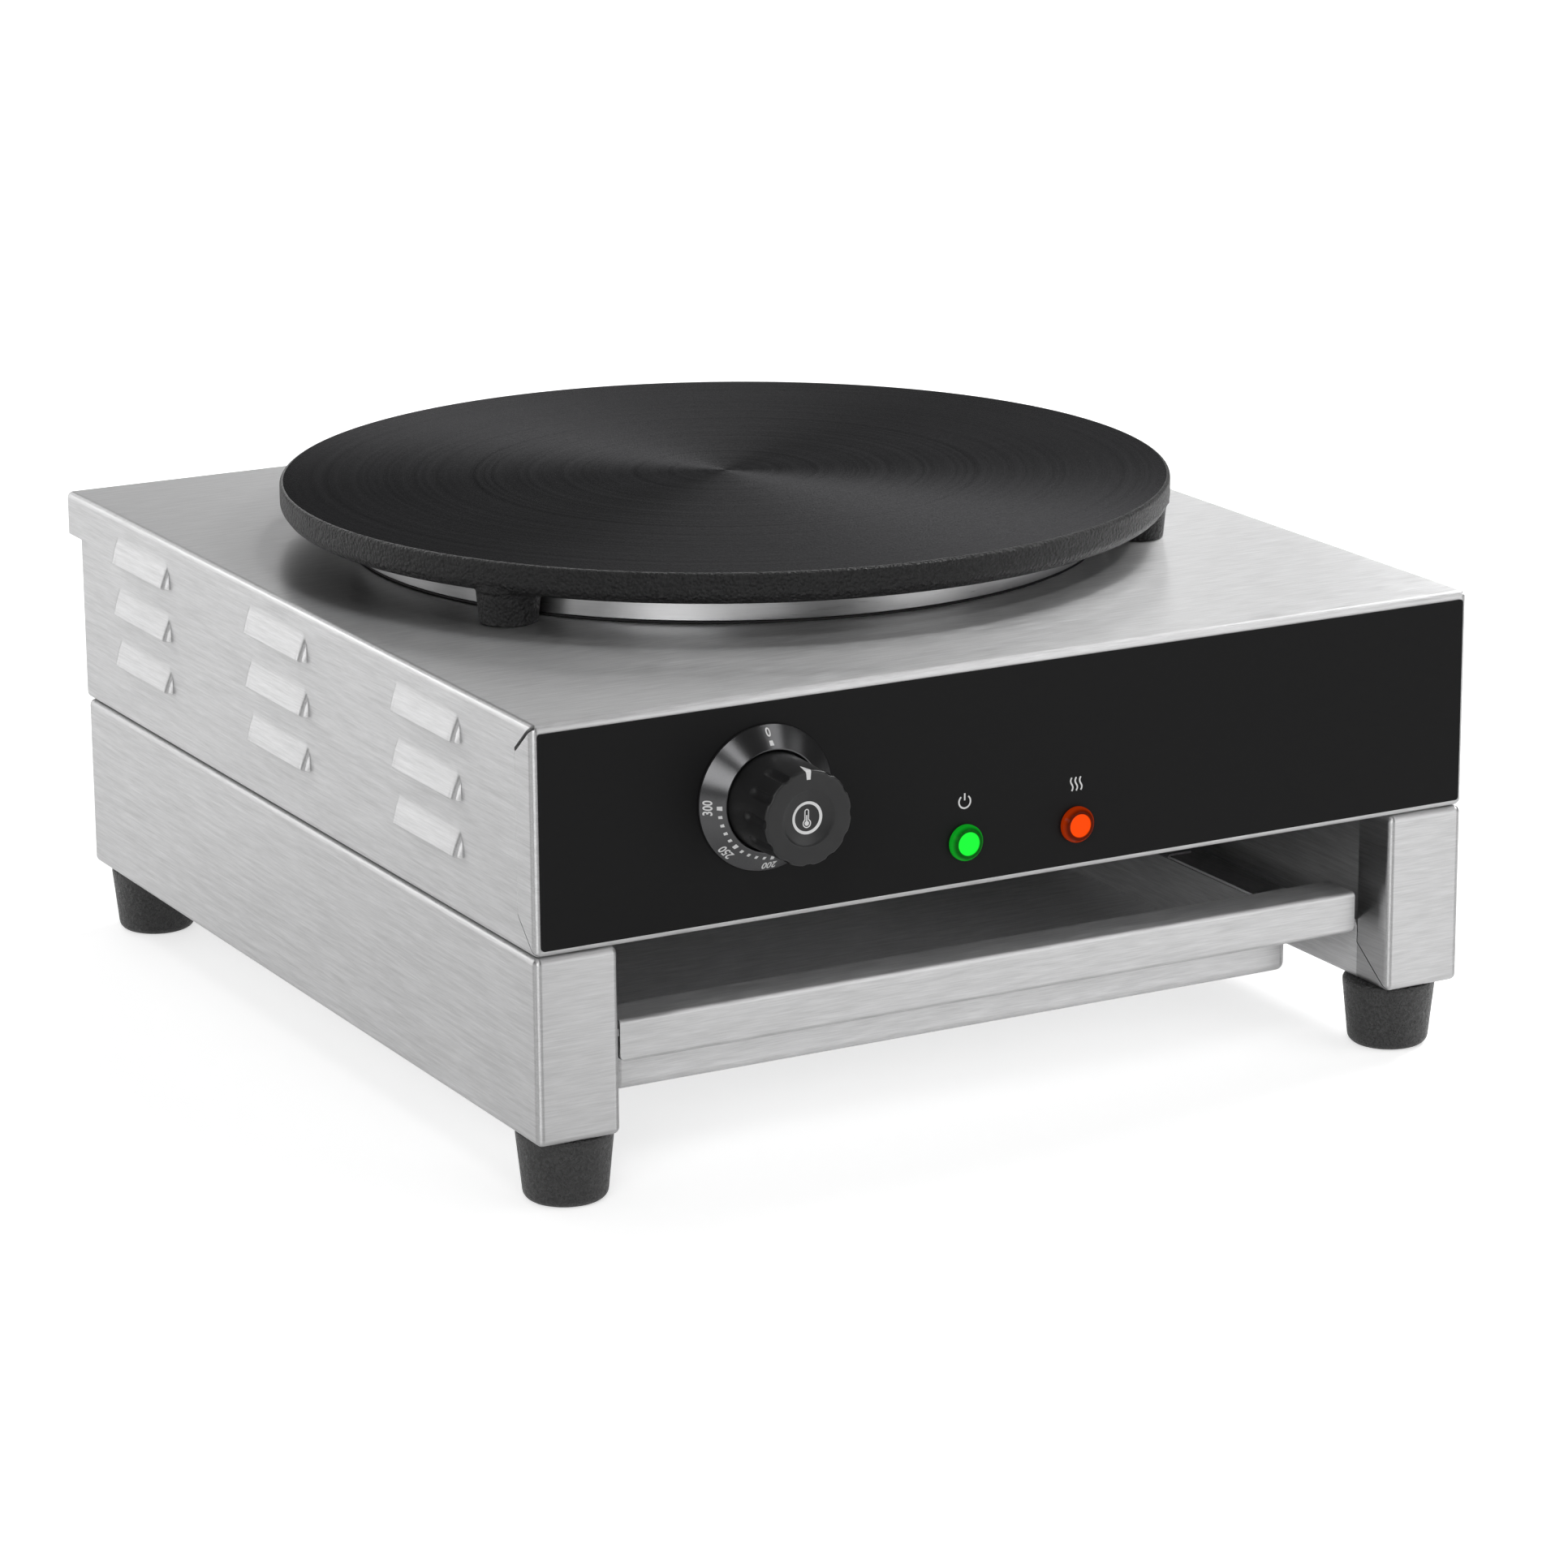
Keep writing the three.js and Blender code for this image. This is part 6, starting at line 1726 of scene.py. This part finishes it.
def softbox(name, place, width, height, brightness):
    """A soft rectangular lamp of an even brightness, aimed at the griddle."""
    light = bpy.data.lights.new(name, "AREA")
    light.shape = "RECTANGLE"
    light.size, light.size_y = width, height
    light.energy = brightness * math.pi * width * height
    obj = linked(name, light)
    obj.location = place
    obj.rotation_mode = "QUATERNION"
    obj.rotation_quaternion = (Vector(LAMP_TARGET) - obj.location).to_track_quat("-Z", "Y")


class GRIDDLE_OT_stage(bpy.types.Operator):
    """Set the pale floor, the soft lamps and the camera"""

    bl_idname = "griddle.stage"
    bl_label = "Stage"

    def execute(self, context):
        scene = context.scene
        scene.view_settings.view_transform = "Standard"
        scene.world = studio_world()

        floor = mesh_of([(-9, -9, 0), (9, -9, 0), (9, 9, 0), (-9, 9, 0)], [[0, 1, 2, 3]])
        floor.materials.append(pale_floor())
        floor_obj = linked("floor", floor)
        floor_obj.location.z = -0.0004
        floor_obj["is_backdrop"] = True

        for lamp in LAMPS:
            softbox(*lamp)

        camera = bpy.data.cameras.new("Camera")
        camera.lens = CAMERA_LENS
        camera.sensor_width = 36
        camera.clip_start, camera.clip_end = 0.05, 60
        obj = linked("Camera", camera)
        yaw, pitch, roll = CAMERA_YAW, CAMERA_PITCH, CAMERA_ROLL
        ahead = Vector((math.sin(yaw) * math.cos(pitch), math.cos(yaw) * math.cos(pitch), -math.sin(pitch)))
        right = Vector((math.cos(yaw), -math.sin(yaw), 0))
        up = right.cross(ahead)
        cos, sin = math.cos(roll), math.sin(roll)
        turn = Matrix((right * cos + up * sin, up * cos - right * sin, -ahead)).transposed().to_4x4()
        obj.matrix_world = Matrix.Translation(CAMERA_PLACE) @ turn
        scene.camera = obj
        return {"FINISHED"}


# ---------------------------------------------------------------- sidebar


OPERATORS = (
    GRIDDLE_OT_housing,
    GRIDDLE_OT_base_frame,
    GRIDDLE_OT_feet,
    GRIDDLE_OT_tray,
    GRIDDLE_OT_plate,
    GRIDDLE_OT_skirt,
    GRIDDLE_OT_panel_film,
    GRIDDLE_OT_dial,
    GRIDDLE_OT_knob,
    GRIDDLE_OT_lamps,
    GRIDDLE_OT_back,
    GRIDDLE_OT_inner_parts,
    GRIDDLE_OT_stage,
)


class GRIDDLE_PT_sidebar(bpy.types.Panel):
    """Sizes, colours and the building steps of the griddle"""

    bl_idname = "GRIDDLE_PT_sidebar"
    bl_label = "Electric Griddle"
    bl_space_type = "VIEW_3D"
    bl_region_type = "UI"
    bl_category = "Griddle"

    def draw(self, context):
        layout = self.layout
        for group in (context.scene.griddle_sizes, context.scene.griddle_colours):
            box = layout.box()
            for key in group.__annotations__:
                box.prop(group, key)
        for operator in OPERATORS:
            layout.operator(operator.bl_idname)


CLASSES = (GriddleSizes, GriddleColours, *OPERATORS, GRIDDLE_PT_sidebar)


def register():
    """Adds the classes and the scene's sizes and colours."""
    for cls in CLASSES:
        bpy.utils.register_class(cls)
    bpy.types.Scene.griddle_sizes = bpy.props.PointerProperty(type=GriddleSizes)
    bpy.types.Scene.griddle_colours = bpy.props.PointerProperty(type=GriddleColours)


def unregister():
    """Takes them away again."""
    del bpy.types.Scene.griddle_colours
    del bpy.types.Scene.griddle_sizes
    for cls in reversed(CLASSES):
        bpy.utils.unregister_class(cls)


def corners(bounds):
    """A pair of corners as plain lists."""
    return [[float(v) for v in corner] for corner in bounds]


def main():
    """Builds the whole griddle."""
    register()
    before = corners(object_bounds())
    for operator in OPERATORS:
        group, name = operator.bl_idname.split(".")
        getattr(getattr(bpy.ops, group), name)()
    after = corners(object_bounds())


if __name__ == "__main__":
    main()
